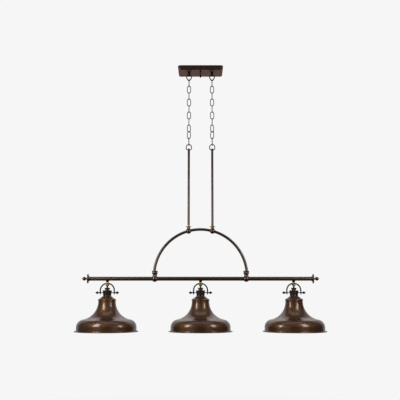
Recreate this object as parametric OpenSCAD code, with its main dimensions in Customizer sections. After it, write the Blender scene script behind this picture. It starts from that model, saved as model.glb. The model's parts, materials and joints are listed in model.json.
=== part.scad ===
// Bar pendant light: three bell shades on one bar, an arch, two rods and two chains.
// Millimetres, +Z up. The origin is the centre of the canopy's ceiling face.
// X runs along the bar, Y from the front to the back, and everything hangs below z = 0.

/* [Canopy] */
// Length of the canopy along the bar
canopy_w = 254; // [220:1:320]
// Depth of the canopy
canopy_d = 120; // [108:1:170]
// Height of the canopy
canopy_h = 26; // [20:1:45]
// Radius of the canopy's upright corners
canopy_corner_r = 14; // [6:1:20]
// Radius of the canopy's lower edge
canopy_edge_r = 6; // [1.5:0.5:6]
// Sheet thickness of the canopy
canopy_wall = 1.2; // [0.8:0.1:2.5]
// How far the hem at the ceiling stands out
hem_out = 1.5; // [0.4:0.1:2]
// Height of the hem at the ceiling
hem_h = 8; // [2:0.5:10]

/* [Mounting plate] */
// Length of the plate along the bar
plate_len = 106; // [100:1:112]
// Width of the plate's two crossing straps
plate_strap_w = 26; // [20:1:34]
// Thickness of the plate
plate_t = 2.5; // [1.5:0.1:4]
// Distance between the ceiling box screws
box_screw_gap = 79.4; // [76:0.1:82]
// Width of the slots for the ceiling box screws
box_slot_w = 4.8; // [4:0.1:6]
// Length of the slots for the ceiling box screws
box_slot_len = 14; // [10:0.5:18]
// Distance between the two canopy studs
stud_gap = 82; // [74:1:90]
// Diameter of the canopy studs
stud_d = 4; // [3:0.1:5]
// Diameter of the ball on each canopy knob
knob_d = 9; // [8:0.5:12]
// Diameter of the canopy's centre bushing where it shows
bushing_d = 15; // [12:0.5:20]
// Wire hole through the centre bushing
bushing_hole_d = 7; // [5:0.5:9]

/* [Chains and loops] */
// Distance between the two chains
chain_gap = 132; // [126:1:150]
// Width of the closed loops under the canopy
loop_w = 33; // [31:0.5:38]
// Height of the closed loops under the canopy
loop_h = 39; // [39:0.5:48]
// Wire of the closed loops
loop_wire_d = 5.5; // [4.5:0.1:6]
// Radius of the bend at the foot of the closed loops
loop_foot_r = 8; // [5.5:0.1:9]
// Height of the collars between the canopy and its loops
collar_h = 7; // [4:0.5:10]
// Diameter of those collars
collar_d = 15; // [13:0.5:20]
// Diameter of the threaded lamp pipe and nipples
pipe_d = 9.6; // [9:0.1:10.2]
// Wire hole through the lamp pipe and nipples
pipe_hole_d = 6; // [4:0.1:6.6]
// Inner length of a chain link
link_inner = 38.7; // [34:0.1:46]
// Outer width of a plain chain link
link_w = 23.4; // [21:0.1:28]
// Wire of a plain chain link
link_wire_d = 3.8; // [3:0.1:4.2]
// Outer width of the thicker link at each end of a chain
end_link_w = 24.6; // [23:0.1:29]
// Wire of the thicker link at each end of a chain
end_link_wire_d = 4.8; // [4:0.1:5]
// Number of plain links in each chain
plain_links = 8; // [4:2:12]
// Turn of the last two plain links either way from face on
twist = 27; // [0:1:30]
// Gap left where two links, or a link and a loop, bear on each other
bearing_gap = 0.3; // [0.2:0.05:0.5]

/* [Rods] */
// Width of the stirrups on top of the rods
stirrup_w = 34; // [32:0.5:40]
// Height of the stirrups
stirrup_h = 36; // [35:0.5:46]
// Wire of the stirrups
stirrup_wire_d = 5; // [4:0.1:5.5]
// Radius of the stirrups' lower corners
stirrup_corner_r = 8; // [4:0.5:9]
// Length of each rod
rod_len = 447.5; // [300:0.5:700]
// Outer diameter of the rods
rod_d = 13; // [12.4:0.1:15]
// Wall of the rods, the arch and the bar
tube_wall = 1.2; // [0.8:0.1:1.4]
// Diameter of the thin flange over each arch ball
flange_d = 32; // [26:1:40]
// Diameter of the neck under that flange
flange_neck_d = 20; // [18:0.5:22]
// Height of the neck under that flange
flange_neck_h = 11.5; // [6:0.5:16]

/* [Arch] */
// Radius of the arch along the middle of its tube
arch_r = 254; // [220:1:300]
// Outer diameter of the arch tube
arch_d = 15.5; // [14:0.1:17]
// Diameter of the two balls on the arch
arch_ball_d = 31; // [29:0.5:36]
// How deep the arch tubes sit in the balls
arch_seat = 5; // [3:0.5:6]
// Height of the arch's centre above the middle of the bar
arch_lift = 16.6; // [14:0.1:22]
// Diameter of the collars at the feet of the arch
foot_collar_d = 33; // [31:0.5:38]
// Height of the collars at the feet of the arch
foot_collar_h = 16; // [14:0.5:20]
// Diameter of the neck under each foot collar
foot_neck_d = 26; // [25:0.5:27]
// Height of that neck over the bar ball
foot_neck_h = 9.5; // [8:0.5:24]

/* [Bar] */
// Outer diameter of the bar
bar_d = 22; // [20:0.1:25]
// Length of the bar tube
bar_len = 1228; // [1180:1:1400]
// Diameter of the balls on the bar under the arch
bar_ball_d = 35; // [33:0.5:40]
// Diameter of the end discs
end_disc_d = 52; // [40:1:60]
// Thickness of the end discs at their edge
end_disc_t = 4.5; // [3:0.5:7]
// Diameter of the ball finials at the ends
finial_d = 21; // [16:0.5:24]

/* [Pendants] */
// Distance between the middles of neighbouring shades
pendant_gap = 508; // [400:1:560]
// Diameter of the brass ball on each yoke
yoke_ball_d = 23.4; // [19:0.2:26]
// Half the width of a yoke, along the middle of its rod
yoke_r = 38; // [36:0.5:44]
// Diameter of the yoke rod
yoke_rod_d = 7.2; // [6:0.1:8]
// Length of the straight legs of a yoke
yoke_leg = 12.4; // [6:0.1:14]
// How far a yoke's eye sits over the middle of its ball
eye_lift = 2.8; // [0:0.1:4]
// Diameter of the thumb screw shafts
screw_d = 4.2; // [3:0.1:4.4]
// Diameter of the thumb screw knobs
screw_knob_d = 15.4; // [10:0.2:16]
// Distance from a pendant's axis to the tip of a thumb screw
screw_reach = 64.5; // [60:0.5:72]
// Diameter of the collar's lip over the socket cup
cup_collar_d = 31; // [24:0.5:34]
// Diameter of the collar's neck over the socket cup
cup_neck_d = 24; // [18:0.5:25]
// Height of the collar over the socket cup
cup_collar_h = 14.8; // [12:0.2:20]
// Diameter of the socket cup at its top
cup_d = 51.5; // [47:0.5:54]
// Diameter of the socket cup at its waist
cup_waist_d = 44; // [43:0.5:46]
// Diameter of the socket cup's foot
cup_foot_d = 58; // [54:0.5:62]
// Height of the socket cup
cup_h = 36.5; // [34:0.5:44]
// Diameter of the shade cap
cap_d = 98; // [94:0.5:110]
// Height of the cone of the shade cap
cap_cone_h = 11.5; // [8:0.5:16]
// Height of the upright edge of the shade cap
cap_edge_h = 6; // [4:0.5:10]
// Sheet thickness of the cup and the cap
cap_wall = 1.5; // [1:0.1:2.5]

/* [Shades] */
// Diameter of the shade over its rolled rim
shade_d = 346; // [336:1:380]
// How far the rim stands out from the shade's body
rim_out = 11; // [8:0.5:16]
// Diameter of the shade's neck
neck_d = 94; // [88:0.5:100]
// Radius of the hollow flare below the neck
flare_r = 98; // [80:1:120]
// Radius of the rounded shoulder
shoulder_r = 42; // [34:1:50]
// Height of the upright skirt under the shoulder
skirt_h = 24; // [18:1:60]
// Height of the straight neck over the flare
neck_h = 10.8; // [8:0.2:20]
// Diameter of the rolled bead at the rim
bead_d = 4.6; // [3.4:0.2:7]
// Sheet thickness of the shade
shade_wall = 1.2; // [0.8:0.1:2]

/* [Lampholders] */
// Diameter of the lampholder body
holder_d = 36; // [33:0.5:37]
// Height of the lampholder body
holder_h = 63; // [58:1:90]
// Diameter of the lamp thread in the lampholder
lamp_thread_d = 26.4; // [26:0.1:28]
// Depth of the lamp thread
lamp_thread_h = 42; // [30:1:50]
// Outer diameter of the ring that holds the shade
shade_ring_d = 56; // [48:1:70]
// Thickness of the ring that holds the shade
shade_ring_t = 5; // [3:0.5:8]

/* [Hidden] */
$fn = 64;
wire_fn = 32;
// Clearance between a thread or tube and the hole that it sits in, on the radius
fit = 0.1;
// Running clearance between pieces that move against each other
run = 0.1;
bronze = "saddlebrown";
dark_bronze = "#3a2a20";
brass = "darkgoldenrod";
steel = "silver";

// Heights, from the ceiling down
left_x = -chain_gap / 2;
knob_neck_h = 2.5;
loop_top_z = -canopy_h - collar_h;
loop_big_r = (loop_w - loop_wire_d) / 2;
loop_centre_z = loop_top_z - loop_wire_d / 2 - loop_big_r;
loop_drop = loop_h - loop_wire_d - loop_big_r - loop_foot_r;
loop_lean = asin((loop_big_r - loop_foot_r) / loop_drop);
loop_bar_z = loop_centre_z - loop_drop - loop_foot_r;
top_link_z = loop_bar_z + loop_wire_d / 2 + bearing_gap - link_inner / 2;
top_hinge_z = top_link_z - link_inner / 2 - end_link_wire_d / 2;
run_first_z = top_link_z + bearing_gap - link_inner;
run_last_z = run_first_z - (plain_links - 1) * (link_inner - bearing_gap);
end_link_z = run_last_z + bearing_gap - link_inner;
low_hinge_z = end_link_z + link_inner / 2 + end_link_wire_d / 2;
stirrup_bar_z = end_link_z - link_inner / 2 + bearing_gap + stirrup_wire_d / 2;
stirrup_r = (stirrup_w - stirrup_wire_d) / 2;
stirrup_foot_z = stirrup_bar_z + stirrup_wire_d - stirrup_h;
rod_top_z = stirrup_foot_z - stirrup_wire_d / 2 - 2.5;
rod_foot_z = rod_top_z - rod_len;
// The rods stand this deep in the arch balls
rod_seat = 7;
arch_ball_z = rod_foot_z + rod_seat - arch_ball_d / 2;
arch_ball_angle = acos(chain_gap / 2 / arch_r);
arch_z = arch_ball_z - arch_r * sin(arch_ball_angle);
bar_z = arch_z - arch_lift;
// Where the arch tubes end, as angles on the arch
arch_foot_angle = asin(7 / arch_r);
arch_gap_angle = (arch_ball_d / 2 - arch_seat) / arch_r * 180 / PI;
// How far the end discs' inner faces stand in from the ends of the bar tube, and their hubs' height
disc_inset = 1;
hub_h = 4.5;
// How far their hubs reach back along the bar
disc_hub_len = 7;
// Pendant heights, from the middle of the bar down
nut_h = 7;
ball_z = -bar_d / 2 - nut_h - yoke_ball_d / 2;
ball_slice = yoke_rod_d + 1;
// How far the rod's line rises over the middle of the eye
yoke_crown = 1.8;
eye_z = ball_z + eye_lift;
yoke_top_z = eye_z + yoke_crown;
yoke_centre_z = yoke_top_z - yoke_r;
pivot_z = yoke_centre_z - yoke_leg;
cup_top_z = pivot_z + 12.4;
cup_foot_z = cup_top_z - cup_h;
pipe_foot_z = cup_top_z - 10;
cap_edge_z = cup_foot_z - cap_cone_h;
cap_foot_z = cap_edge_z - cap_edge_h;
shade_top_z = cap_edge_z - 0.6;
holder_top_z = cup_top_z - cap_wall - 5;
holder_foot_z = holder_top_z - holder_h;
// Shade outline, from the rim up
body_d = shade_d - 2 * rim_out;
shoulder_x = body_d / 2 - shoulder_r;
flare_x = neck_d / 2 + flare_r;
flare_y = skirt_h + sqrt(pow(flare_r + shoulder_r, 2) - pow(flare_x - shoulder_x, 2));
meet_angle = atan2(flare_y - skirt_h, flare_x - shoulder_x);
shade_h = flare_y + neck_h;
rim_z = shade_top_z - shade_h;
// Holes that lampholder, pipe and screws pass through
holder_hole_d = holder_d + 4;
screw_hole_d = screw_d + 2 * run;
pipe_bore_d = pipe_d + 2 * fit;
pendant_xs = [-pendant_gap, 0, pendant_gap];

// Points along an arc, from angle a to angle b
function arc(cx, cy, r, a, b, steps) =
    [for (i = [0 : steps]) let (t = a + (b - a) * i / steps) [cx + r * cos(t), cy + r * sin(t)]];

// A straight length of wire or rod along +Z
module wire(d, len) {
    cylinder(d = d, h = len, $fn = wire_fn);
}

// A length of tube or wire bent in the XZ plane, from angle a to angle b
module bend(path_r, d, a, b) {
    rotate([90, 0, 0])
        rotate([0, 0, a])
            rotate_extrude(angle = b - a)
                translate([path_r, 0])
                    circle(d = d, $fn = wire_fn);
}

// A turned piece: an outline of [radius, height] points with a hole down its axis
module turned(points, hole_d) {
    low = min([for (p = points) p[1]]);
    high = max([for (p = points) p[1]]);
    difference() {
        rotate_extrude() polygon(points);
        if (hole_d > 0)
            translate([0, 0, low - 1]) cylinder(d = hole_d, h = high - low + 2);
    }
}

// Puts its children at both chains
module at_chains() {
    for (side = [-1, 1])
        translate([side * chain_gap / 2, 0, 0]) children();
}

// Puts its children under the bar at each pendant
module at_pendants() {
    for (x = pendant_xs)
        translate([x, 0, bar_z]) children();
}

module rounded_plate(w, d, r, t) {
    linear_extrude(t) {
        square([w - 2 * r, d], center = true);
        square([w, d - 2 * r], center = true);
        for (x = [-1, 1])
            for (y = [-1, 1])
                translate([x * (w / 2 - r), y * (d / 2 - r)]) circle(r = r);
    }
}

// Outline of a box's side from height low to high, with its two lower corners rounded
module soft_side(w, low, high, r) {
    translate([-w / 2, low + r]) square([w, high - low - r]);
    translate([-w / 2 + r, low]) square([w - 2 * r, high - low]);
    for (x = [-1, 1])
        translate([x * (w / 2 - r), low + r]) circle(r = r);
}

// Box with rounded corners and rounded lower edges
module soft_box(w, d, low, high, corner_r, edge_r) {
    intersection() {
        translate([0, 0, low]) rounded_plate(w, d, corner_r, high - low);
        translate([0, d, 0])
            rotate([90, 0, 0]) linear_extrude(2 * d) soft_side(w, low, high, edge_r);
        translate([-w, 0, 0])
            rotate([90, 0, 90]) linear_extrude(2 * w) soft_side(d, low, high, edge_r);
    }
}

module slot(len, d, depth) {
    for (x = [-1, 1])
        translate([x * (len - d) / 2, 0, 0]) cylinder(d = d, h = depth);
    translate([-(len - d) / 2, -d / 2, 0]) cube([len - d, d, depth]);
}

// Crossed straps that screw to the ceiling box, tapped for the two studs
module mounting_plate() {
    color(steel)
        difference() {
            translate([0, 0, -plate_t])
                union() {
                    rounded_plate(plate_len, plate_strap_w, 4, plate_t);
                    rounded_plate(plate_strap_w, stud_gap + 18, 4, plate_t);
                }
            for (x = [-1, 1])
                translate([x * box_screw_gap / 2, 0, -plate_t - 1])
                    slot(box_slot_len, box_slot_w, plate_t + 2);
            for (y = [-1, 1])
                translate([0, y * stud_gap / 2, -plate_t - 1])
                    cylinder(d = stud_d + 2 * fit, h = plate_t + 2);
            translate([0, 0, -plate_t - 1]) cylinder(d = 13, h = plate_t + 2);
        }
}

// Pressed sheet canopy, open to the ceiling, with a turned hem
module canopy() {
    inner_w = canopy_w - 2 * canopy_wall;
    inner_d = canopy_d - 2 * canopy_wall;
    inner_r = canopy_corner_r - canopy_wall;
    inner_edge_r = max(canopy_edge_r - canopy_wall, 0.3);
    hem_w = canopy_w + 2 * hem_out;
    hem_d = canopy_d + 2 * hem_out;
    color(bronze)
        difference() {
            union() {
                soft_box(canopy_w, canopy_d, -canopy_h, 0, canopy_corner_r, canopy_edge_r);
                translate([0, 0, -hem_h])
                    rounded_plate(hem_w, hem_d, canopy_corner_r + hem_out, hem_h);
            }
            soft_box(inner_w, inner_d, -canopy_h + canopy_wall, 1, inner_r, inner_edge_r);
            at_chains()
                translate([0, 0, -canopy_h - 1]) cylinder(d = pipe_bore_d, h = canopy_wall + 2);
            for (y = [-1, 1])
                translate([0, y * stud_gap / 2, -canopy_h - 1])
                    cylinder(d = stud_d + 1, h = canopy_wall + 2);
            translate([0, 0, -canopy_h - 1])
                cylinder(d = bushing_d - 4 + 2 * fit, h = canopy_wall + 2);
        }
}

// Threaded studs from the plate down into the knobs
module canopy_studs() {
    len = canopy_h + knob_neck_h + knob_d / 2;
    color(steel)
        for (y = [-1, 1])
            translate([0, y * stud_gap / 2, -len]) wire(stud_d, len);
}

// Ball knob that screws onto a stud and holds the canopy up
module canopy_knob(y) {
    neck_r = knob_d * 0.33;
    flat_r = knob_d / 2;
    top = -canopy_h - bearing_gap;
    ball_centre = top - knob_neck_h - knob_d / 2 + 1;
    color(brass)
        translate([0, y, 0])
            difference() {
                union() {
                    translate([0, 0, top - 1.2]) cylinder(r = flat_r, h = 1.2);
                    translate([0, 0, ball_centre]) cylinder(r = neck_r, h = top - 0.5 - ball_centre);
                    translate([0, 0, ball_centre]) sphere(d = knob_d);
                }
                translate([0, 0, -canopy_h - knob_neck_h - knob_d / 2 - bearing_gap - run])
                    cylinder(d = stud_d + 2 * run, h = knob_neck_h + knob_d);
            }
}

// Bushing in the middle of the canopy, where the house wires would come through
module wire_bushing() {
    shank_r = bushing_d / 2 - 2;
    color(brass)
        turned([
            [0, -canopy_h - 2], [bushing_d / 2 - 1, -canopy_h - 2],
            [bushing_d / 2, -canopy_h - 1.2], [bushing_d / 2, -canopy_h],
            [shank_r, -canopy_h], [shank_r, -canopy_h + 5], [0, -canopy_h + 5]
        ], bushing_hole_d);
}

// Closed loop: a round top that narrows to a tight bend, on a hollow threaded nipple
module canopy_loop(x) {
    nipple_low = loop_top_z - loop_wire_d - 3;
    nipple_top = -canopy_h + canopy_wall + 7;
    bead_d = loop_wire_d + 0.3;
    side_x = loop_big_r * cos(loop_lean);
    side_z = -loop_big_r * sin(loop_lean);
    foot_x = loop_foot_r * cos(loop_lean);
    foot_z = -loop_drop - loop_foot_r * sin(loop_lean);
    color(dark_bronze)
        translate([x, 0, 0])
            difference() {
                union() {
                    translate([0, 0, loop_centre_z]) {
                        bend(loop_big_r, loop_wire_d, -loop_lean, 180 + loop_lean);
                        translate([0, 0, -loop_drop])
                            bend(loop_foot_r, loop_wire_d, 180 + loop_lean, 360 - loop_lean);
                        for (side = [0, 1])
                            mirror([side, 0, 0]) {
                                translate([foot_x, 0, foot_z])
                                    rotate([0, loop_lean, 0])
                                        wire(loop_wire_d, loop_drop * cos(loop_lean));
                                translate([side_x, 0, side_z]) sphere(d = bead_d, $fn = wire_fn);
                                translate([foot_x, 0, foot_z]) sphere(d = bead_d, $fn = wire_fn);
                            }
                    }
                    translate([0, 0, nipple_low]) wire(pipe_d, nipple_top - nipple_low);
                }
                translate([0, 0, nipple_low - 1]) wire(pipe_hole_d, nipple_top - nipple_low + 2);
            }
}

// Small turned collars between the canopy and its loops
module loop_collars() {
    top = -canopy_h;
    r = collar_d / 2;
    color(dark_bronze)
        at_chains()
            turned([
                [0, top], [r, top], [r, top - 1.6], [r - 1.2, top - collar_h * 0.6],
                [pipe_d / 2 + 0.6, top - collar_h], [0, top - collar_h]
            ], pipe_bore_d);
}

// Hexagon nuts on the nipples inside the canopy
module loop_nuts() {
    color(steel)
        at_chains()
            translate([0, 0, -canopy_h + canopy_wall])
                difference() {
                    cylinder(d = 17, h = 4, $fn = 6);
                    translate([0, 0, -1]) cylinder(d = pipe_bore_d, h = 6);
                }
}

// One chain link standing in the XZ plane, turned by yaw about its length
module link(z, w, wire_d, yaw) {
    path_r = (w - wire_d) / 2;
    leg = link_inner + wire_d - 2 * path_r;
    translate([0, 0, z])
        rotate([0, 0, yaw]) {
            translate([0, 0, leg / 2]) bend(path_r, wire_d, 0, 180);
            translate([0, 0, -leg / 2]) bend(path_r, wire_d, 180, 360);
            for (side = [-1, 1])
                translate([side * path_r, 0, -leg / 2]) wire(wire_d, leg);
        }
}

module chain_top_link(x) {
    color(dark_bronze)
        translate([x, 0, 0]) link(top_link_z, end_link_w, end_link_wire_d, 90);
}

// The plain links, hanging taut on each other
module chain_run(x) {
    color(bronze)
        translate([x, 0, 0])
            for (i = [0 : plain_links - 1])
                link(run_first_z - i * (link_inner - bearing_gap), link_w, link_wire_d, run_yaw(i));
}

// Even links show their face and odd ones their edge; the last two stand skewed either way
function run_yaw(i) =
    i < plain_links - 2 ? (i % 2) * 90 : (i == plain_links - 2 ? twist : -twist);

module chain_end_link(x) {
    color(dark_bronze)
        translate([x, 0, 0]) link(end_link_z, end_link_w, end_link_wire_d, 90);
}

// Stirrup: an arched top, straight sides and a flat foot that screws onto the rod
module rod_stirrup(x) {
    corner_x = stirrup_r - stirrup_corner_r;
    arch_mid_z = stirrup_bar_z - stirrup_r;
    corner_z = stirrup_foot_z + stirrup_corner_r;
    wire_r = stirrup_wire_d / 2;
    stub_d = rod_d - 2 * tube_wall - 2 * fit;
    color(dark_bronze)
        translate([x, 0, 0])
            difference() {
                union() {
                    translate([0, 0, arch_mid_z]) bend(stirrup_r, stirrup_wire_d, 0, 180);
                    for (side = [0, 1])
                        mirror([side, 0, 0]) {
                            translate([stirrup_r, 0, corner_z])
                                wire(stirrup_wire_d, arch_mid_z - corner_z);
                            translate([corner_x, 0, corner_z])
                                bend(stirrup_corner_r, stirrup_wire_d, 270, 360);
                        }
                    translate([-corner_x, 0, stirrup_foot_z])
                        rotate([0, 90, 0]) wire(stirrup_wire_d, 2 * corner_x);
                    translate([0, 0, rod_top_z])
                        cylinder(d = rod_d, h = stirrup_foot_z + 1 - rod_top_z);
                    translate([0, 0, stirrup_foot_z])
                        cylinder(d1 = rod_d - 2, d2 = pipe_d, h = wire_r + 4);
                    translate([0, 0, rod_top_z - 12]) cylinder(d = stub_d, h = 13);
                }
                translate([0, 0, rod_top_z - 13])
                    cylinder(d = pipe_hole_d, h = stirrup_foot_z - rod_top_z + 30);
            }
}

// Hollow rod from the stirrup down into the arch ball
module rod(x) {
    color(bronze)
        translate([x, 0, rod_foot_z])
            difference() {
                cylinder(d = rod_d, h = rod_len);
                translate([0, 0, -1]) cylinder(d = rod_d - 2 * tube_wall, h = rod_len + 2);
            }
}

// Thin flange and neck that slide down each rod onto its ball
module rod_flanges() {
    ball_r = arch_ball_d / 2;
    neck_r = flange_neck_d / 2;
    seat = arch_ball_z + sqrt(pow(ball_r, 2) - pow(neck_r, 2));
    top = seat + flange_neck_h + 3;
    r = flange_d / 2;
    color(brass)
        at_chains()
            difference() {
                turned([
                    [0, seat - 1], [neck_r, seat - 1], [neck_r - 1, seat + flange_neck_h - 2],
                    [r - 2, top - 2.2], [r, top - 1], [r, top], [r - 2, top - 0.6],
                    [rod_d / 2 + 1, top - 1.6], [0, top - 1.6]
                ], rod_d + 2 * fit);
                translate([0, 0, arch_ball_z]) sphere(d = arch_ball_d + 2 * fit);
            }
}

// Hollow bent tube on the arch's line, from angle a to angle b
module arch_tube(a, b) {
    color(bronze)
        translate([0, 0, arch_z])
            difference() {
                bend(arch_r, arch_d, a, b);
                bend(arch_r, arch_d - 2 * tube_wall, a - 0.5, b + 0.5);
            }
}

module arch_left() {
    arch_tube(180 - arch_ball_angle + arch_gap_angle, 180 - arch_foot_angle);
}

module arch_centre() {
    arch_tube(arch_ball_angle + arch_gap_angle, 180 - arch_ball_angle - arch_gap_angle);
}

module arch_right() {
    arch_tube(arch_foot_angle, arch_ball_angle - arch_gap_angle);
}

// Ball fittings: each takes a rod from above and two lengths of the arch from the sides
module arch_balls() {
    socket_d = arch_d + 2 * fit;
    near = arch_gap_angle - 0.05;
    far = arch_gap_angle + 8;
    color(bronze)
        for (side = [0, 1])
            mirror([side, 0, 0])
                difference() {
                    translate([chain_gap / 2, 0, arch_ball_z]) sphere(d = arch_ball_d);
                    translate([0, 0, arch_z]) {
                        bend(arch_r, socket_d, arch_ball_angle + near, arch_ball_angle + far);
                        bend(arch_r, socket_d, arch_ball_angle - far, arch_ball_angle - near);
                    }
                    translate([chain_gap / 2, 0, rod_foot_z - fit])
                        cylinder(d = rod_d + 2 * fit, h = arch_ball_d);
                }
}

// Two-ridge collars at the feet of the arch, hollowed below to sit on the bar balls
module arch_foot_collars() {
    ball_top = bar_z + bar_ball_d / 2;
    low = ball_top - 5;
    neck_top = ball_top + foot_neck_h;
    top = neck_top + foot_collar_h;
    r = foot_collar_d / 2;
    neck_r = foot_neck_d / 2;
    ridge = 4;
    color(bronze)
        for (side = [0, 1])
            mirror([side, 0, 0])
                difference() {
                    translate([arch_r, 0, 0])
                        turned([
                            [0, low], [neck_r, low], [neck_r - 1.5, ball_top + 2],
                            [neck_r, neck_top - 1], [r - 1.5, neck_top], [r, neck_top + 1],
                            [r, neck_top + ridge], [r - 1.8, neck_top + ridge + 1.5],
                            [r - 1.8, top - ridge - 1.5], [r, top - ridge],
                            [r, top - 1], [r - 1, top], [0, top]
                        ], 0);
                    translate([arch_r, 0, bar_z]) sphere(d = bar_ball_d + 2 * fit);
                    translate([0, 0, arch_z])
                        bend(arch_r, arch_d + 2 * fit, arch_foot_angle - 0.02, 30);
                }
}

// Horizontal tube that carries the three pendants
module bar() {
    color(bronze)
        translate([0, 0, bar_z])
            difference() {
                translate([-bar_len / 2, 0, 0]) rotate([0, 90, 0]) cylinder(d = bar_d, h = bar_len);
                translate([-bar_len / 2 - 1, 0, 0])
                    rotate([0, 90, 0]) cylinder(d = bar_d - 2 * tube_wall, h = bar_len + 2);
                for (x = pendant_xs)
                    translate([x, 0, -bar_d]) cylinder(d = pipe_bore_d, h = bar_d);
            }
}

// Balls that slide on the bar under the feet of the arch
module bar_balls() {
    bore_d = bar_d + 2 * fit;
    color(bronze)
        for (side = [-1, 1])
            translate([side * arch_r, 0, bar_z])
                difference() {
                    sphere(d = bar_ball_d);
                    translate([-bar_ball_d, 0, 0])
                        rotate([0, 90, 0]) cylinder(d = bore_d, h = 2 * bar_ball_d);
                }
}

// Turned end discs that cap the bar
module bar_end_discs() {
    bar_r = bar_d / 2;
    disc_r = end_disc_d / 2;
    hub_r = bar_r + 2.4;
    face = bar_len / 2 - disc_inset;
    inner = face - disc_hub_len;
    color(dark_bronze)
        for (side = [0, 1])
            mirror([side, 0, 0])
                translate([0, 0, bar_z])
                    rotate([0, 90, 0])
                        difference() {
                            turned([
                                [0, inner], [hub_r - 0.8, inner], [hub_r, inner + 0.8],
                                [hub_r, inner + 2.4], [hub_r - 0.8, inner + 3.2],
                                [hub_r - 0.8, face - 1.6], [hub_r + 0.8, face],
                                [disc_r - 0.8, face], [disc_r, face + 0.8],
                                [disc_r, face + end_disc_t - 0.8],
                                [disc_r - 0.8, face + end_disc_t],
                                [disc_r - 6, face + end_disc_t + 0.6], [8, face + end_disc_t + 3],
                                [6, face + end_disc_t + hub_h], [0, face + end_disc_t + hub_h]
                            ], 6);
                            translate([0, 0, inner - 1])
                                cylinder(d = bar_d + 2 * fit, h = bar_len / 2 - inner + 1 + fit);
                        }
}

// Ball finials screwed into the end discs
module bar_end_finials() {
    foot = bar_len / 2 - disc_inset + end_disc_t + hub_h;
    r = finial_d / 2;
    neck = 3;
    tip = 1.2;
    ball_x = foot + neck + r;
    color(brass)
        for (side = [0, 1])
            mirror([side, 0, 0])
                translate([0, 0, bar_z])
                    rotate([0, 90, 0]) {
                        translate([0, 0, foot - 7]) cylinder(d = 6 - 2 * fit, h = 8);
                        translate([0, 0, foot]) cylinder(r1 = 6, r2 = 4.4, h = neck + 1.5);
                        translate([0, 0, ball_x]) sphere(r = r);
                        translate([0, 0, ball_x + r - 1]) cylinder(r1 = 3.4, r2 = 1, h = 1 + tip);
                    }
}

// Hollow threaded pipes that carry the pendants, from inside the bar to the lampholders
module stem_pipes() {
    top = -bar_d / 2 + tube_wall + 4;
    color(dark_bronze)
        at_pendants()
            translate([0, 0, pipe_foot_z])
                difference() {
                    wire(pipe_d, top - pipe_foot_z);
                    translate([0, 0, -1]) wire(pipe_hole_d, top - pipe_foot_z + 2);
                }
}

// Tapered nuts whose hollowed tops fit the round of the bar
module stem_nuts() {
    top = -bar_d / 2 + 1.5;
    low = -bar_d / 2 - nut_h;
    color(dark_bronze)
        at_pendants()
            difference() {
                turned([[0, low], [7, low], [7.6, low + 1], [9.2, top - 2.5], [9.2, top], [0, top]],
                    pipe_bore_d);
                translate([-12, 0, 0]) rotate([0, 90, 0]) cylinder(d = bar_d + 2 * fit, h = 24);
            }
}

// The upper part of each brass ball, over the yoke's eye
module yoke_ball_tops() {
    r = yoke_ball_d / 2;
    cut = eye_lift + ball_slice / 2;
    color(brass)
        at_pendants()
            translate([0, 0, ball_z])
                turned(concat([[0, cut]], arc(0, 0, r, asin(cut / r), 76, 12), [[0, r * sin(76)]]),
                    pipe_bore_d);
}

// The lower part of each brass ball, which runs out into a short cone
module yoke_ball_bottoms() {
    r = yoke_ball_d / 2;
    cut = eye_lift - ball_slice / 2;
    color(brass)
        at_pendants()
            translate([0, 0, ball_z])
                turned(concat([[0, cut]], arc(0, 0, r, asin(cut / r), -46, 8),
                    [[5.6, -r - 0.4], [0, -r - 0.4]]), pipe_bore_d);
}

// Turned collars that clamp the socket cups to the pipes
module cup_collars() {
    lip_r = cup_collar_d / 2;
    neck_r = cup_neck_d / 2;
    color(dark_bronze)
        at_pendants()
            translate([0, 0, cup_top_z])
                turned([
                    [0, 0], [neck_r + 2, 0], [neck_r + 1, 2], [neck_r, 3.5], [neck_r, cup_collar_h - 7.5],
                    [lip_r - 0.6, cup_collar_h - 6], [lip_r, cup_collar_h - 5],
                    [lip_r, cup_collar_h - 2.5], [lip_r - 2, cup_collar_h - 1],
                    [7, cup_collar_h], [0, cup_collar_h]
                ], pipe_bore_d);
}

// Yoke: an arched rod with an eye at its top and a drilled drop at the foot of each leg
module yoke(x) {
    ball_r = yoke_ball_d / 2;
    eye_edge = acos((ball_r - 2) / yoke_r);
    drop_r = yoke_rod_d / 2 + 1.5;
    color(dark_bronze)
        translate([x, 0, bar_z])
            difference() {
                union() {
                    translate([0, 0, ball_z])
                        intersection() {
                            sphere(r = ball_r);
                            translate([-ball_r, -ball_r, eye_lift - (ball_slice - fit) / 2])
                                cube([2 * ball_r, 2 * ball_r, ball_slice - fit]);
                        }
                    for (side = [0, 1])
                        mirror([side, 0, 0]) {
                            translate([0, 0, yoke_centre_z]) bend(yoke_r, yoke_rod_d, 0, eye_edge);
                            translate([yoke_r, 0, pivot_z]) wire(yoke_rod_d, yoke_leg);
                            translate([yoke_r, 0, pivot_z]) sphere(r = drop_r);
                            translate([yoke_r, 0, pivot_z])
                                turned([
                                    [0, -2], [drop_r * 0.9, -2], [drop_r * 0.62, -5], [1.5, -8.2],
                                    [1.9, -9.6], [1.4, -10.8], [0, -11.2]
                                ], 0);
                        }
                }
                translate([0, 0, ball_z - ball_r]) cylinder(d = pipe_bore_d, h = 2 * ball_r);
                translate([-yoke_r - 2 * drop_r, 0, pivot_z])
                    rotate([0, 90, 0]) cylinder(d = screw_hole_d, h = 2 * yoke_r + 4 * drop_r);
            }
}

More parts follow.
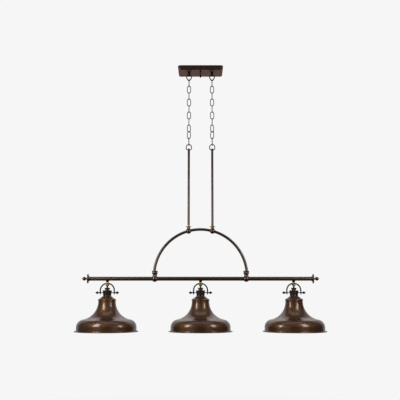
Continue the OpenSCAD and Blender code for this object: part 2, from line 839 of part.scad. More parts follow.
// Thumb screw through a yoke's foot into the socket cup, with a turned pointed knob
module thumb_screw(x, side) {
    r = screw_d / 2;
    knob_r = screw_knob_d / 2;
    start = cup_waist_d / 2 - 1.2;
    seat = yoke_r + yoke_rod_d / 2 + 1.5 + bearing_gap;
    middle = screw_reach - 10;
    color(dark_bronze)
        translate([x, 0, bar_z + pivot_z])
            rotate([0, side * 90, 0])
                turned([
                    [0, start], [r, start], [r, seat], [r + 1.6, seat], [r + 1.6, seat + 1.4],
                    [r + 0.4, seat + 2.6], [knob_r - 1.6, middle - 3], [knob_r, middle - 1],
                    [knob_r, middle + 0.6], [knob_r - 1.4, middle + 2.6], [2.6, screw_reach - 3.4],
                    [2.4, screw_reach - 1.6], [1.2, screw_reach - 0.3], [0, screw_reach]
                ], 0);
}

// Socket cup: a closed top, a slight waist, a flared foot and two tapped bosses
module socket_cup(x) {
    top_r = cup_d / 2;
    waist_r = cup_waist_d / 2;
    foot_r = cup_foot_d / 2;
    t = cap_wall;
    waist_z = -cup_h + 8;
    rim = 2.6;
    boss_d = screw_d + 5;
    boss_in = waist_r - 2.6;
    color(dark_bronze)
        translate([x, 0, bar_z + cup_top_z])
            difference() {
                union() {
                    rotate_extrude()
                        polygon(concat(
                            [[0, 0], [top_r - 1, 0], [top_r, -1], [top_r, -rim], [top_r - 1, -rim - 1.2]],
                            [[waist_r, waist_z], [waist_r + 1, waist_z - 2.6], [foot_r - 1.5, -cup_h + 2.4],
                                [foot_r, -cup_h + 1.4], [foot_r, -cup_h]],
                            [[foot_r - t - 1.5, -cup_h], [waist_r - t + 0.8, waist_z - 2.6],
                                [waist_r - t, waist_z], [top_r - 1 - t, -rim - 1.2],
                                [top_r - 1 - t, -t], [0, -t]]
                        ));
                    for (side = [-1, 1])
                        translate([side * (boss_in + 1.4), 0, pivot_z - cup_top_z])
                            rotate([0, side * 90, 0])
                                translate([0, 0, -1.4])
                                    cylinder(d = boss_d, h = waist_r - boss_in - 0.4);
                }
                translate([0, 0, -t - 1]) cylinder(d = pipe_bore_d, h = t + 2);
                translate([-cup_d, 0, pivot_z - cup_top_z])
                    rotate([0, 90, 0]) cylinder(d = screw_hole_d, h = 2 * cup_d);
            }
}

// Spun cap that the shade hangs from
module shade_cap(x) {
    t = cap_wall;
    top_r = cup_foot_d / 2 + 2.5;
    edge_r = cap_d / 2;
    hole_r = holder_hole_d / 2;
    color(bronze)
        translate([x, 0, bar_z + cup_foot_z])
            rotate_extrude()
                polygon([
                    [hole_r, 0], [top_r, 0], [top_r + 1, -1.2],
                    [edge_r - 4, -cap_cone_h + 1.6], [edge_r - 1, -cap_cone_h + 0.4],
                    [edge_r, -cap_cone_h - 1], [edge_r, -cap_cone_h - cap_edge_h],
                    [edge_r - t, -cap_cone_h - cap_edge_h], [edge_r - t, -cap_cone_h - 1.4],
                    [edge_r - 5, -cap_cone_h], [top_r, -t - 0.8], [hole_r, -t]
                ]);
}

// Outline of the shade's sheet: neck, hollow flare, round shoulder, skirt and flange
function shade_outline() =
    let (
        t = shade_wall,
        top = shade_h,
        bead_r = bead_d / 2,
        rim_x = shade_d / 2 - bead_r,
        lip_r = 5,
        lip_x = body_d / 2 + lip_r,
        lip_y = bead_r + lip_r,
        hole_r = holder_hole_d / 2
    )
    concat(
        [[hole_r, top], [neck_d / 2 - 2, top], [neck_d / 2, top - 2]],
        arc(flare_x, flare_y, flare_r, 180, 180 + meet_angle, 20),
        arc(shoulder_x, skirt_h, shoulder_r, meet_angle - 4, 0, 12),
        arc(lip_x, lip_y, lip_r, 180, 270, 5),
        arc(rim_x, bead_r, bead_r, 180, asin(t / bead_r) - 180, 20),
        arc(lip_x, lip_y, lip_r + t, 270, 180, 5),
        arc(shoulder_x, skirt_h, shoulder_r - t, 0, meet_angle - 4, 12),
        arc(flare_x, flare_y, flare_r + t, 180 + meet_angle, 180, 20),
        [[neck_d / 2 - t, top - t], [hole_r, top - t]]
    );

// Spun bell shade with a rolled bead at its rim
module shade(x) {
    color(bronze)
        translate([x, 0, bar_z + rim_z]) rotate_extrude($fn = 128) polygon(shade_outline());
}

// Lampholder: a moulded body that hangs on the pipe, with the lamp thread below
module lampholder(x) {
    color("ivory")
        translate([x, 0, bar_z])
            difference() {
                union() {
                    translate([0, 0, holder_foot_z]) cylinder(d = holder_d, h = holder_h - 6);
                    translate([0, 0, holder_top_z - 6.01])
                        cylinder(d1 = holder_d, d2 = holder_d - 12, h = 6.01);
                }
                translate([0, 0, pipe_foot_z - fit]) cylinder(d = pipe_bore_d, h = holder_h);
                translate([0, 0, holder_foot_z - 1])
                    cylinder(d = lamp_thread_d, h = lamp_thread_h + 1);
            }
}

// Threaded ring that clamps the shade to its cap
module shade_ring(x) {
    r = shade_ring_d / 2;
    top = shade_top_z - shade_wall - fit;
    color("ivory")
        translate([x, 0, bar_z])
            turned([
                [0, top], [r, top], [r, top - shade_ring_t + 1.5], [r - 1.5, top - shade_ring_t],
                [0, top - shade_ring_t]
            ], holder_d + 2 * fit);
}

mounting_plate();
canopy();
canopy_studs();
canopy_knob(-stud_gap / 2);  // canopy_knob_front
canopy_knob(stud_gap / 2);  // canopy_knob_rear
wire_bushing();
canopy_loop(left_x);  // canopy_loop_left
canopy_loop(-left_x);  // canopy_loop_right
loop_collars();
loop_nuts();
chain_top_link(left_x);  // chain_top_link_left
chain_run(left_x);  // chain_run_left
chain_end_link(left_x);  // chain_end_link_left
chain_top_link(-left_x);  // chain_top_link_right
chain_run(-left_x);  // chain_run_right
chain_end_link(-left_x);  // chain_end_link_right
rod_stirrup(left_x);  // rod_stirrup_left
rod_stirrup(-left_x);  // rod_stirrup_right
rod(left_x);  // rod_left
rod(-left_x);  // rod_right
rod_flanges();
arch_left();
arch_centre();
arch_right();
arch_balls();
arch_foot_collars();
bar();
bar_balls();
bar_end_discs();
bar_end_finials();
stem_pipes();
stem_nuts();
yoke_ball_tops();
yoke_ball_bottoms();
cup_collars();
yoke(-pendant_gap);  // yoke_left
yoke(0);  // yoke_centre
yoke(pendant_gap);  // yoke_right
thumb_screw(-pendant_gap, -1);  // screw_left_outer
thumb_screw(-pendant_gap, 1);  // screw_left_inner
thumb_screw(0, -1);  // screw_centre_left
thumb_screw(0, 1);  // screw_centre_right
thumb_screw(pendant_gap, -1);  // screw_right_inner
thumb_screw(pendant_gap, 1);  // screw_right_outer
socket_cup(-pendant_gap);  // cup_left
socket_cup(0);  // cup_centre
socket_cup(pendant_gap);  // cup_right
shade_cap(-pendant_gap);  // cap_left
shade_cap(0);  // cap_centre
shade_cap(pendant_gap);  // cap_right
shade(-pendant_gap);  // shade_left
shade(0);  // shade_centre
shade(pendant_gap);  // shade_right
lampholder(-pendant_gap);  // lampholder_left
lampholder(0);  // lampholder_centre
lampholder(pendant_gap);  // lampholder_right
shade_ring(-pendant_gap);  // shade_ring_left
shade_ring(0);  // shade_ring_centre
shade_ring(pendant_gap);  // shade_ring_right
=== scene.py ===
import json
import math

import bpy
import bmesh
from mathutils import Matrix, Vector


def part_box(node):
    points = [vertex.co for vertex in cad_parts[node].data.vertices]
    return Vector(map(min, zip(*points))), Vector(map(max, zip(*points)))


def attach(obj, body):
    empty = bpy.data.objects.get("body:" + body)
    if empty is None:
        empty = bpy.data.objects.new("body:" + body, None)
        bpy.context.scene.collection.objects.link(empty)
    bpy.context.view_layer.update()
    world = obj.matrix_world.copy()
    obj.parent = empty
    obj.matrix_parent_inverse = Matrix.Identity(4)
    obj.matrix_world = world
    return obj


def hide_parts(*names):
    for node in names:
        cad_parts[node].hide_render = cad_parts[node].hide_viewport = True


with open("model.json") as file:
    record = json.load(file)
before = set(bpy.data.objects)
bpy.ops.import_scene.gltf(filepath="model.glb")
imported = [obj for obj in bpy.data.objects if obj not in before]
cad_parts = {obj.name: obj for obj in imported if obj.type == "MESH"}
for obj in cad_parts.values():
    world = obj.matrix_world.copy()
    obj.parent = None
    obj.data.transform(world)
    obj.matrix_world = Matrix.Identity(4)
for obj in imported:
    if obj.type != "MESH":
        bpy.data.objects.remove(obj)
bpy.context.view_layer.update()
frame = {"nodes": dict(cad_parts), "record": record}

mm = 0.001
mergeReach = 0.00001     # m; points closer than this become one
onAxis = 0.00001         # mm; a point closer to the axis than this is a pole
reliefDepth = {"metal": 0.0004, "plain": 0.0003}
sharpFrom = math.radians(38)
scene = bpy.context.scene
nodes = frame["nodes"]
sides = ("left", "right")
pendants = ("left", "centre", "right")
bodyOf = {node: body for body, names in frame["record"]["behaviour"]["bodies"].items()
          for node in names}
print("frame loaded:", len(nodes), "CAD nodes")


# Small helpers for node trees and pieces

def tone(code):
    # sRGB hex to a linear colour
    parts = [int(code[i:i + 2], 16) / 255 for i in (0, 2, 4)]
    return [p / 12.92 if p <= 0.04045 else ((p + 0.055) / 1.055) ** 2.4 for p in parts] + [1.0]


def plug(tree, node, key, value):
    # A value can be a number, a socket, or a node, which stands for its first output
    socket = node.inputs[key]
    if isinstance(value, bpy.types.Node):
        value = value.outputs[0]
    if isinstance(value, bpy.types.NodeSocket):
        tree.links.new(value, socket)
    else:
        socket.default_value = value


def feed(tree, node, values):
    # Inputs by name or by number
    for key, value in values.items():
        plug(tree, node, key, value)
    return node


def put(tree, kind, settings=None, **inputs):
    # Adds a node; its inputs are given by name, with _ for a space
    node = tree.nodes.new(kind)
    for key, value in (settings or {}).items():
        setattr(node, key, value)
    return feed(tree, node, {key.replace("_", " "): value for key, value in inputs.items()})


def calc(tree, operation, *values):
    node = put(tree, "ShaderNodeMath", {"operation": operation})
    return feed(tree, node, dict(enumerate(values))).outputs[0]


def plus(tree, first, second):
    return calc(tree, "ADD", first, second)


def minus(tree, first, second):
    return calc(tree, "SUBTRACT", first, second)


def times(tree, first, second):
    return calc(tree, "MULTIPLY", first, second)


def point(tree, x=0.0, y=0.0, z=0.0):
    return put(tree, "ShaderNodeCombineXYZ", X=x, Y=y, Z=z).outputs[0]


def sizedTree(name, sizes, others):
    # A geometry tree with one named input for each size, and others by socket type
    tree = bpy.data.node_groups.new(name, "GeometryNodeTree")
    tree.is_modifier = True
    face = tree.interface
    face.new_socket("Geometry", in_out="OUTPUT", socket_type="NodeSocketGeometry")
    for key, value in sizes.items():
        kind = "NodeSocketInt" if isinstance(value, int) else "NodeSocketFloat"
        face.new_socket(key, in_out="INPUT", socket_type=kind).default_value = value
    for key, kind in others:
        face.new_socket(key, in_out="INPUT", socket_type=kind)
    return tree, tree.nodes.new("NodeGroupInput").outputs


def joined(tree, parts):
    # Joins geometry so that its points keep the order of the list
    join = tree.nodes.new("GeometryNodeJoinGeometry")
    for part in reversed(parts):
        plug(tree, join, 0, part)
    return join.outputs[0]


def addPiece(name, mesh):
    mesh.name = name
    piece = bpy.data.objects.new(name, mesh)
    scene.collection.objects.link(piece)
    return piece


def grown(name, tree, values):
    # Runs a geometry tree with these inputs and keeps what it makes as a plain mesh
    holder = addPiece(name + "Tree", bpy.data.meshes.new(name + "Tree"))
    modifier = holder.modifiers.new("shape", "NODES")
    modifier.node_group = tree
    for item in tree.interface.items_tree:
        if item.in_out == "INPUT" and item.name in values:
            modifier[item.identifier] = values[item.name]
    seen = holder.evaluated_get(bpy.context.evaluated_depsgraph_get())
    mesh = bpy.data.meshes.new_from_object(seen)
    holder.modifiers.remove(modifier)
    bpy.data.objects.remove(holder)
    return addPiece(name, mesh)


def newMaterial(name, empty=False):
    material = bpy.data.materials.new(name)
    material.use_nodes = True
    if empty:
        material.node_tree.nodes.clear()
    return material, material.node_tree


def standIn(piece, node):
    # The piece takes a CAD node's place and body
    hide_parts(node)
    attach(piece, bodyOf[node])


def middle(node):
    low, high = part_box(node)
    return (low + high) / 2


# Shader groups that several finishes share

def shaderGroup(name, inputs, outputs):
    # An input is a vector if its value is None, a colour if it is a hex code, else a number
    tree = bpy.data.node_groups.new(name, "ShaderNodeTree")
    for key, value in inputs.items():
        kind = "NodeSocketFloat"
        if value is None:
            kind = "NodeSocketVector"
        elif isinstance(value, str):
            kind, value = "NodeSocketColor", tone(value)
        socket = tree.interface.new_socket(key, in_out="INPUT", socket_type=kind)
        if value is not None:
            socket.default_value = value
    for key, kind in outputs.items():
        tree.interface.new_socket(key, in_out="OUTPUT", socket_type="NodeSocket" + kind)
    return tree, tree.nodes.new("NodeGroupInput").outputs, tree.nodes.new("NodeGroupOutput").inputs


def noise(tree, vector, scale, detail=3.0, roughness=0.5):
    return put(tree, "ShaderNodeTexNoise", Vector=vector, Scale=scale, Detail=detail,
               Roughness=roughness).outputs[0]


def spread(tree, value, low, high, toLow=0.0, toHigh=1.0):
    return put(tree, "ShaderNodeMapRange", Value=value, From_Min=low, From_Max=high,
               To_Min=toLow, To_Max=toHigh).outputs[0]


def blend(tree, factor, first, second, how="MIX"):
    node = put(tree, "ShaderNodeMix", {"data_type": "RGBA", "blend_type": how})
    return feed(tree, node, {0: factor, 6: first, 7: second}).outputs[2]


def agedMetalGroup():
    # Cloudy patina, fine grain and edges rubbed bright
    tree, size, out = shaderGroup("agedMetal", {
        "Vector": None, "Base": "6b5040", "Dark": "3a2a20", "Rub": "a08060",
        "Blotch": 18.0, "Grain": 700.0, "Wear": 0.5, "Rough": 0.35, "Rough Spread": 0.12,
    }, {"Color": "Color", "Roughness": "Float", "Height": "Float"})
    cloud = spread(tree, noise(tree, size["Vector"], size["Blotch"], 5.0, 0.6), 0.36, 0.66)
    grain = noise(tree, size["Vector"], size["Grain"], 2.0)
    patch = noise(tree, size["Vector"], times(tree, size["Blotch"], 6.0), 3.0)
    edge = put(tree, "ShaderNodeNewGeometry").outputs["Pointiness"]
    rubbed = times(tree, spread(tree, edge, 0.51, 0.58), spread(tree, patch, 0.35, 0.6))
    rubbed = times(tree, rubbed, size["Wear"])
    tint = blend(tree, cloud, size["Base"], size["Dark"])
    speck = spread(tree, grain, 0.3, 0.7, 0.94, 1.05)
    tint = blend(tree, 1.0, tint, put(tree, "ShaderNodeCombineColor", Red=speck, Green=speck,
                                      Blue=speck).outputs[0], "MULTIPLY")
    tint = blend(tree, rubbed, tint, size["Rub"])
    swing = times(tree, minus(tree, cloud, 0.5), size["Rough Spread"])
    rough = plus(tree, size["Rough"], swing)
    rough = plus(tree, rough, times(tree, minus(tree, patch, 0.5), 0.1))
    rough = minus(tree, rough, times(tree, rubbed, 0.08))
    tree.links.new(tint, out["Color"])
    tree.links.new(rough, out["Roughness"])
    tree.links.new(calc(tree, "MULTIPLY_ADD", patch, 0.6, times(tree, grain, 0.4)),
                   out["Height"])
    return tree


def toolLinesGroup():
    # Fine lines that a spinning or turning tool leaves, along a distance on the outline
    tree, size, out = shaderGroup("toolLines", {"Along": 0.0, "Lines": 900.0, "Depth": 0.5},
                                  {"Height": "Float"})
    where = point(tree, times(tree, size["Along"], size["Lines"]), 0.0, 0.0)
    fine = noise(tree, where, 1.0, 2.0)
    broad = noise(tree, where, 0.12, 1.0)
    both = plus(tree, times(tree, fine, 0.6), times(tree, broad, 0.4))
    tree.links.new(times(tree, both, size["Depth"]), out["Height"])
    return tree


def threadGroup():
    # Turns of a fine thread, stacked along Z
    tree, size, out = shaderGroup("threadLines", {"Vector": None, "Pitch": 0.001},
                                  {"Height": "Float"})
    z = put(tree, "ShaderNodeSeparateXYZ", Vector=size["Vector"]).outputs["Z"]
    turns = calc(tree, "DIVIDE", times(tree, z, 2 * math.pi), size["Pitch"])
    tree.links.new(calc(tree, "SINE", turns), out["Height"])
    return tree


agedMetal = agedMetalGroup()
toolLines = toolLinesGroup()
threadLines = threadGroup()


def metalFinish(name, base, dark, rub, blotch, wear, rough, grain=700.0, roughSpread=0.12,
                bump=0.08, lines=0.0, depth=0.0, stretch=(1, 1, 1), metallic=0.85, coat=0.2,
                coatRough=0.25, edge="6a5c52", pitch=0.0):
    material, tree = newMaterial(name)
    shader = tree.nodes["Principled BSDF"]
    where = put(tree, "ShaderNodeTexCoord").outputs["Object"]
    where = put(tree, "ShaderNodeMapping", Vector=where, Scale=stretch).outputs[0]
    patina = put(tree, "ShaderNodeGroup", {"node_tree": agedMetal}, Vector=where,
                 Base=tone(base), Dark=tone(dark), Rub=tone(rub), Blotch=blotch, Grain=grain,
                 Wear=wear, Rough=rough, Rough_Spread=roughSpread)
    height = patina.outputs["Height"]
    if lines:
        along = put(tree, "ShaderNodeAttribute", {"attribute_name": "along"}).outputs["Fac"]
        tool = put(tree, "ShaderNodeGroup", {"node_tree": toolLines}, Along=along, Lines=lines,
                   Depth=depth)
        height = plus(tree, height, tool)
    if pitch:
        turns = put(tree, "ShaderNodeGroup", {"node_tree": threadLines}, Vector=where, Pitch=pitch)
        height = plus(tree, height, turns)
    relief = put(tree, "ShaderNodeBump", Strength=bump, Distance=reliefDepth["metal"],
                 Height=height)
    feed(tree, shader, {
        "Base Color": patina.outputs["Color"], "Roughness": patina.outputs["Roughness"],
        "Normal": relief, "Metallic": metallic, "Coat Weight": coat,
        "Coat Roughness": coatRough, "Specular Tint": tone(edge)})
    return material


# Tubes, drawn lengthwise: edge wear would run along their whole length, so they have none
drawn = dict(rub="7c6a5a", blotch=12.0, rough=0.4, roughSpread=0.04, grain=900.0, bump=0.005,
             wear=0.0, metallic=0.75, coat=0.5, coatRough=0.15)
# Pieces turned on a lathe, with the fine lines of its tool
lathed = dict(lines=1600.0, depth=0.3, bump=0.02)
finishes = {
    # spun and pressed sheet
    "shadeBronze": dict(base="4a301b", dark="3e2716", rub="7c6248", blotch=7.0, grain=600.0,
                        wear=0.5, rough=0.48, roughSpread=0.05, lines=900.0, depth=0.4, bump=0.02,
                        metallic=0.75, coat=0.55, coatRough=0.15, edge="9a8c7c"),
    "canopyBronze": dict(base="5e4a44", dark="564440", rub="7d6556", blotch=10.0, rough=0.3,
                         roughSpread=0.04, bump=0.005, wear=0.0, metallic=1.0, coat=0.1,
                         coatRough=0.1, edge="c4b8b2"),
    # tubes
    "rodBronze": dict(drawn, base="40302a", dark="362822", stretch=(1, 1, 0.1)),
    "barBronze": dict(drawn, base="463629", dark="3c2e22", stretch=(0.1, 1, 1)),
    # cast, forged and turned pieces
    "ballBronze": dict(lathed, base="40291b", dark="342014", rub="6a5240", blotch=40.0, wear=0.2,
                       rough=0.34, bump=0.01, metallic=0.75, coat=0.8, coatRough=0.1),
    "darkBronze": dict(lathed, base="1a1512", dark="130f0c", rub="3a3028", blotch=60.0, wear=0.3,
                       rough=0.36, coat=0.05, coatRough=0.2, edge="1e1a17"),
    "cupBronze": dict(lathed, base="34261c", dark="281d15", rub="54402f", blotch=40.0, wear=0.25,
                      rough=0.4, metallic=0.75, coat=0.5, coatRough=0.15, edge="4a4038"),
    "discBronze": dict(lathed, base="584c3e", dark="4a4034", rub="8a7a66", blotch=30.0, wear=0.3,
                       rough=0.4, coat=0.3, coatRough=0.15),
    "threadedPipe": dict(base="1e1814", dark="16110e", rub="40352c", blotch=60.0, wear=0.0,
                         rough=0.3, bump=0.35, pitch=0.00094),
    "chainBronze": dict(base="26221f", dark="1c1917", rub="4a423a", blotch=80.0, wear=0.3,
                        rough=0.36, coat=0.05, coatRough=0.2, bump=0.02, edge="26221f"),
    "agedBrass": dict(lathed, base="e2c898", dark="c8a470", rub="ecd8b0", blotch=70.0, wear=0.3,
                      rough=0.55, metallic=1.0, coat=0.3, coatRough=0.12, edge="d0c0a0"),
    # hidden hardware
    "zincSteel": dict(base="9a9a98", dark="7c7c7a", rub="bcbcba", blotch=50.0, wear=0.3, rough=0.4,
                      coat=0.0, edge="c0c0c0"),
}
finish = {name: metalFinish(name, **values) for name, values in finishes.items()}


def plainFinish(name, base, dark, rough, blotch, bump=0.05, coat=0.0):
    # Enamel, porcelain and moulded plastic
    material, tree = newMaterial(name)
    shader = tree.nodes["Principled BSDF"]
    where = put(tree, "ShaderNodeTexCoord").outputs["Object"]
    cloud = noise(tree, where, blotch, 4.0, 0.55)
    skin = noise(tree, where, 900.0, 2.0)
    tint = blend(tree, spread(tree, cloud, 0.35, 0.7), tone(base), tone(dark))
    relief = put(tree, "ShaderNodeBump", Strength=bump, Distance=reliefDepth["plain"],
                 Height=skin)
    feed(tree, shader, {
        "Base Color": tint, "Normal": relief, "Coat Weight": coat,
        "Roughness": spread(tree, cloud, 0.3, 0.7, rough - 0.06, rough + 0.08)})
    return material


finish["innerEnamel"] = plainFinish("innerEnamel", "d9d2c4", "c8bfae", 0.42, 14.0, 0.08)
finish["porcelain"] = plainFinish("porcelain", "e6e1d4", "d8d1c0", 0.2, 40.0, 0.03, 0.5)
finish["moulded"] = plainFinish("moulded", "dcd6c6", "cbc3b0", 0.45, 60.0, 0.1)
print("finishes made:", len(finish))


# Bell shades: a closed outline of arcs in metres, spun round the pendant's axis

shadeSizes = {
    "Rim Diameter": 0.346, "Body Diameter": 0.324, "Neck Diameter": 0.094, "Flare Radius": 0.098,
    "Shoulder Radius": 0.042, "Skirt": 0.024, "Neck Height": 0.0108, "Neck Round": 0.0025,
    "Bead": 0.0046, "Lip Radius": 0.005, "Wall": 0.0012, "Hole Diameter": 0.040, "Segments": 160,
}
shadeSteps = {"neck": 6, "flare": 40, "shoulder": 26, "lip": 8, "bead": 20, "innerNeck": 5}


def spunOutline(tree, outline, segments):
    # A grid whose rows are the outline's points and whose columns go round the axis
    count = put(tree, "GeometryNodeAttributeDomainSize", {"component": "CURVE"}, Geometry=outline)
    columns = plus(tree, segments, 1.0)
    grid = put(tree, "GeometryNodeMeshGrid", Vertices_X=count.outputs["Point Count"],
               Vertices_Y=columns)
    index = tree.nodes.new("GeometryNodeInputIndex").outputs[0]
    row = calc(tree, "FLOOR", calc(tree, "DIVIDE", index, columns))
    column = calc(tree, "MODULO", index, columns)
    angle = calc(tree, "DIVIDE", times(tree, column, 2 * math.pi), segments)
    here = tree.nodes.new("GeometryNodeInputPosition").outputs[0]
    sample = put(tree, "GeometryNodeSampleIndex", {"data_type": "FLOAT_VECTOR"},
                 Geometry=outline, Value=here, Index=row)
    spot = put(tree, "ShaderNodeSeparateXYZ", Vector=sample).outputs
    place = point(tree, times(tree, spot["X"], calc(tree, "COSINE", angle)),
                  times(tree, spot["X"], calc(tree, "SINE", angle)), spot["Y"])
    marked = put(tree, "GeometryNodeStoreNamedAttribute", Geometry=grid, Name="along",
                 Value=minus(tree, spot["X"], spot["Y"]))
    spun = put(tree, "GeometryNodeSetPosition", Geometry=marked, Position=place)
    return spun.outputs[0], row


def bellShadeTree():
    tree, size = sizedTree("bellShade", shadeSizes, [
        ("Place", "NodeSocketVector"), ("Outside", "NodeSocketMaterial"),
        ("Inside", "NodeSocketMaterial")])
    turn = math.pi      # half way round
    last = 0.0005       # the last stretch under the neck, on to where the outline starts
    wall, flare, shoulder = size["Wall"], size["Flare Radius"], size["Shoulder Radius"]
    neckR, bodyR, rimR, beadR, holeR = [
        times(tree, size[key], 0.5)
        for key in ("Neck Diameter", "Body Diameter", "Rim Diameter", "Bead", "Hole Diameter")]
    shoulderX = minus(tree, bodyR, shoulder)
    flareX = plus(tree, neckR, flare)
    across = minus(tree, flareX, shoulderX)
    reach = calc(tree, "POWER", plus(tree, flare, shoulder), 2.0)
    up = calc(tree, "SQRT", minus(tree, reach, calc(tree, "POWER", across, 2.0)))
    flareY = plus(tree, size["Skirt"], up)
    meet = calc(tree, "ARCTAN2", up, across)
    back = times(tree, meet, -1.0)
    top = plus(tree, flareY, size["Neck Height"])
    lipX = plus(tree, bodyR, size["Lip Radius"])
    lipY = plus(tree, beadR, size["Lip Radius"])
    beadX = minus(tree, rimR, beadR)
    edgeX = minus(tree, neckR, size["Neck Round"])
    edgeY = minus(tree, top, size["Neck Round"])
    less = minus(tree, top, wall)
    beadTurn = minus(tree, calc(tree, "ARCSINE", calc(tree, "DIVIDE", wall, beadR)), 2 * turn)

    def arcAt(x, y, radius, start, sweep, key):
        arc = put(tree, "GeometryNodeCurveArc", Resolution=shadeSteps[key], Radius=radius,
                  Start_Angle=start, Sweep_Angle=sweep)
        return put(tree, "GeometryNodeTransform", Geometry=arc, Translation=point(tree, x, y))

    def lineAt(x1, y1, x2, y2):
        return put(tree, "GeometryNodeCurvePrimitiveLine", Start=point(tree, x1, y1),
                   End=point(tree, x2, y2))

    outer = joined(tree, [
        lineAt(holeR, less, holeR, top),
        arcAt(edgeX, edgeY, size["Neck Round"], turn / 2, -turn / 2, "neck"),
        arcAt(flareX, flareY, flare, turn, meet, "flare"),
        arcAt(shoulderX, size["Skirt"], shoulder, meet, back, "shoulder"),
        arcAt(lipX, lipY, size["Lip Radius"], turn, turn / 2, "lip"),
        arcAt(beadX, beadR, beadR, turn, beadTurn, "bead")])
    outerCount = put(tree, "GeometryNodeAttributeDomainSize", {"component": "CURVE"},
                     Geometry=outer).outputs["Point Count"]
    outline = joined(tree, [
        outer,
        arcAt(lipX, lipY, plus(tree, size["Lip Radius"], wall), turn * 1.5, -turn / 2, "lip"),
        arcAt(shoulderX, size["Skirt"], minus(tree, shoulder, wall), 0.0, meet, "shoulder"),
        arcAt(flareX, flareY, plus(tree, flare, wall), plus(tree, meet, turn), back, "flare"),
        arcAt(edgeX, edgeY, minus(tree, size["Neck Round"], wall), 0.0, turn / 2, "innerNeck"),
        lineAt(plus(tree, holeR, last), less, holeR, less)])
    spun, row = spunOutline(tree, outline, size["Segments"])
    isInner = calc(tree, "GREATER_THAN", row, minus(tree, outerCount, 0.5))
    marked = put(tree, "GeometryNodeStoreNamedAttribute", Geometry=spun, Name="inner",
                 Value=isInner).outputs[0]
    merged = put(tree, "GeometryNodeMergeByDistance", Geometry=marked, Distance=mergeReach)
    smooth = put(tree, "GeometryNodeSetShadeSmooth", Geometry=merged)
    placed = put(tree, "GeometryNodeTransform", Geometry=smooth, Translation=size["Place"])
    real = put(tree, "GeometryNodeRealizeInstances", Geometry=placed)
    dressed = put(tree, "GeometryNodeSetMaterial", Geometry=real, Material=size["Outside"])
    inner = put(tree, "GeometryNodeInputNamedAttribute", {"data_type": "FLOAT"}, Name="inner")
    lined = put(tree, "GeometryNodeSetMaterial", Geometry=dressed,
                Selection=calc(tree, "GREATER_THAN", inner.outputs["Attribute"], 0.99),
                Material=size["Inside"])
    put(tree, "NodeGroupOutput", Geometry=lined)
    return tree


bellShade = bellShadeTree()
for which in pendants:
    low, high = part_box("shade_" + which)
    shade = grown("bellShade_" + which, bellShade, {
        "Place": Vector(((low.x + high.x) / 2, 0, low.z)),
        "Outside": finish["shadeBronze"], "Inside": finish["innerEnamel"]})
    standIn(shade, "shade_" + which)
print("shades spun")


# Chains: bent wire links, in metres, hung in a row and turned by turns

linkSizes = {
    "Inner Length": 0.0387, "Width": 0.0236, "Wire": 0.0042, "Pitch": 0.0384, "Links": 8,
    "First Turn": 0.0, "Skewed Links": 2, "Skew": math.radians(27), "Butt Gap": 0.00025,
    "Bend Steps": 16, "Wire Sides": 14, "Oval": 0.12,
}
endLinkSizes = {
    "Width": 0.0246, "Wire": 0.0048, "Links": 1, "First Turn": math.radians(90), "Skewed Links": 0,
    "Oval": 0.0,
}


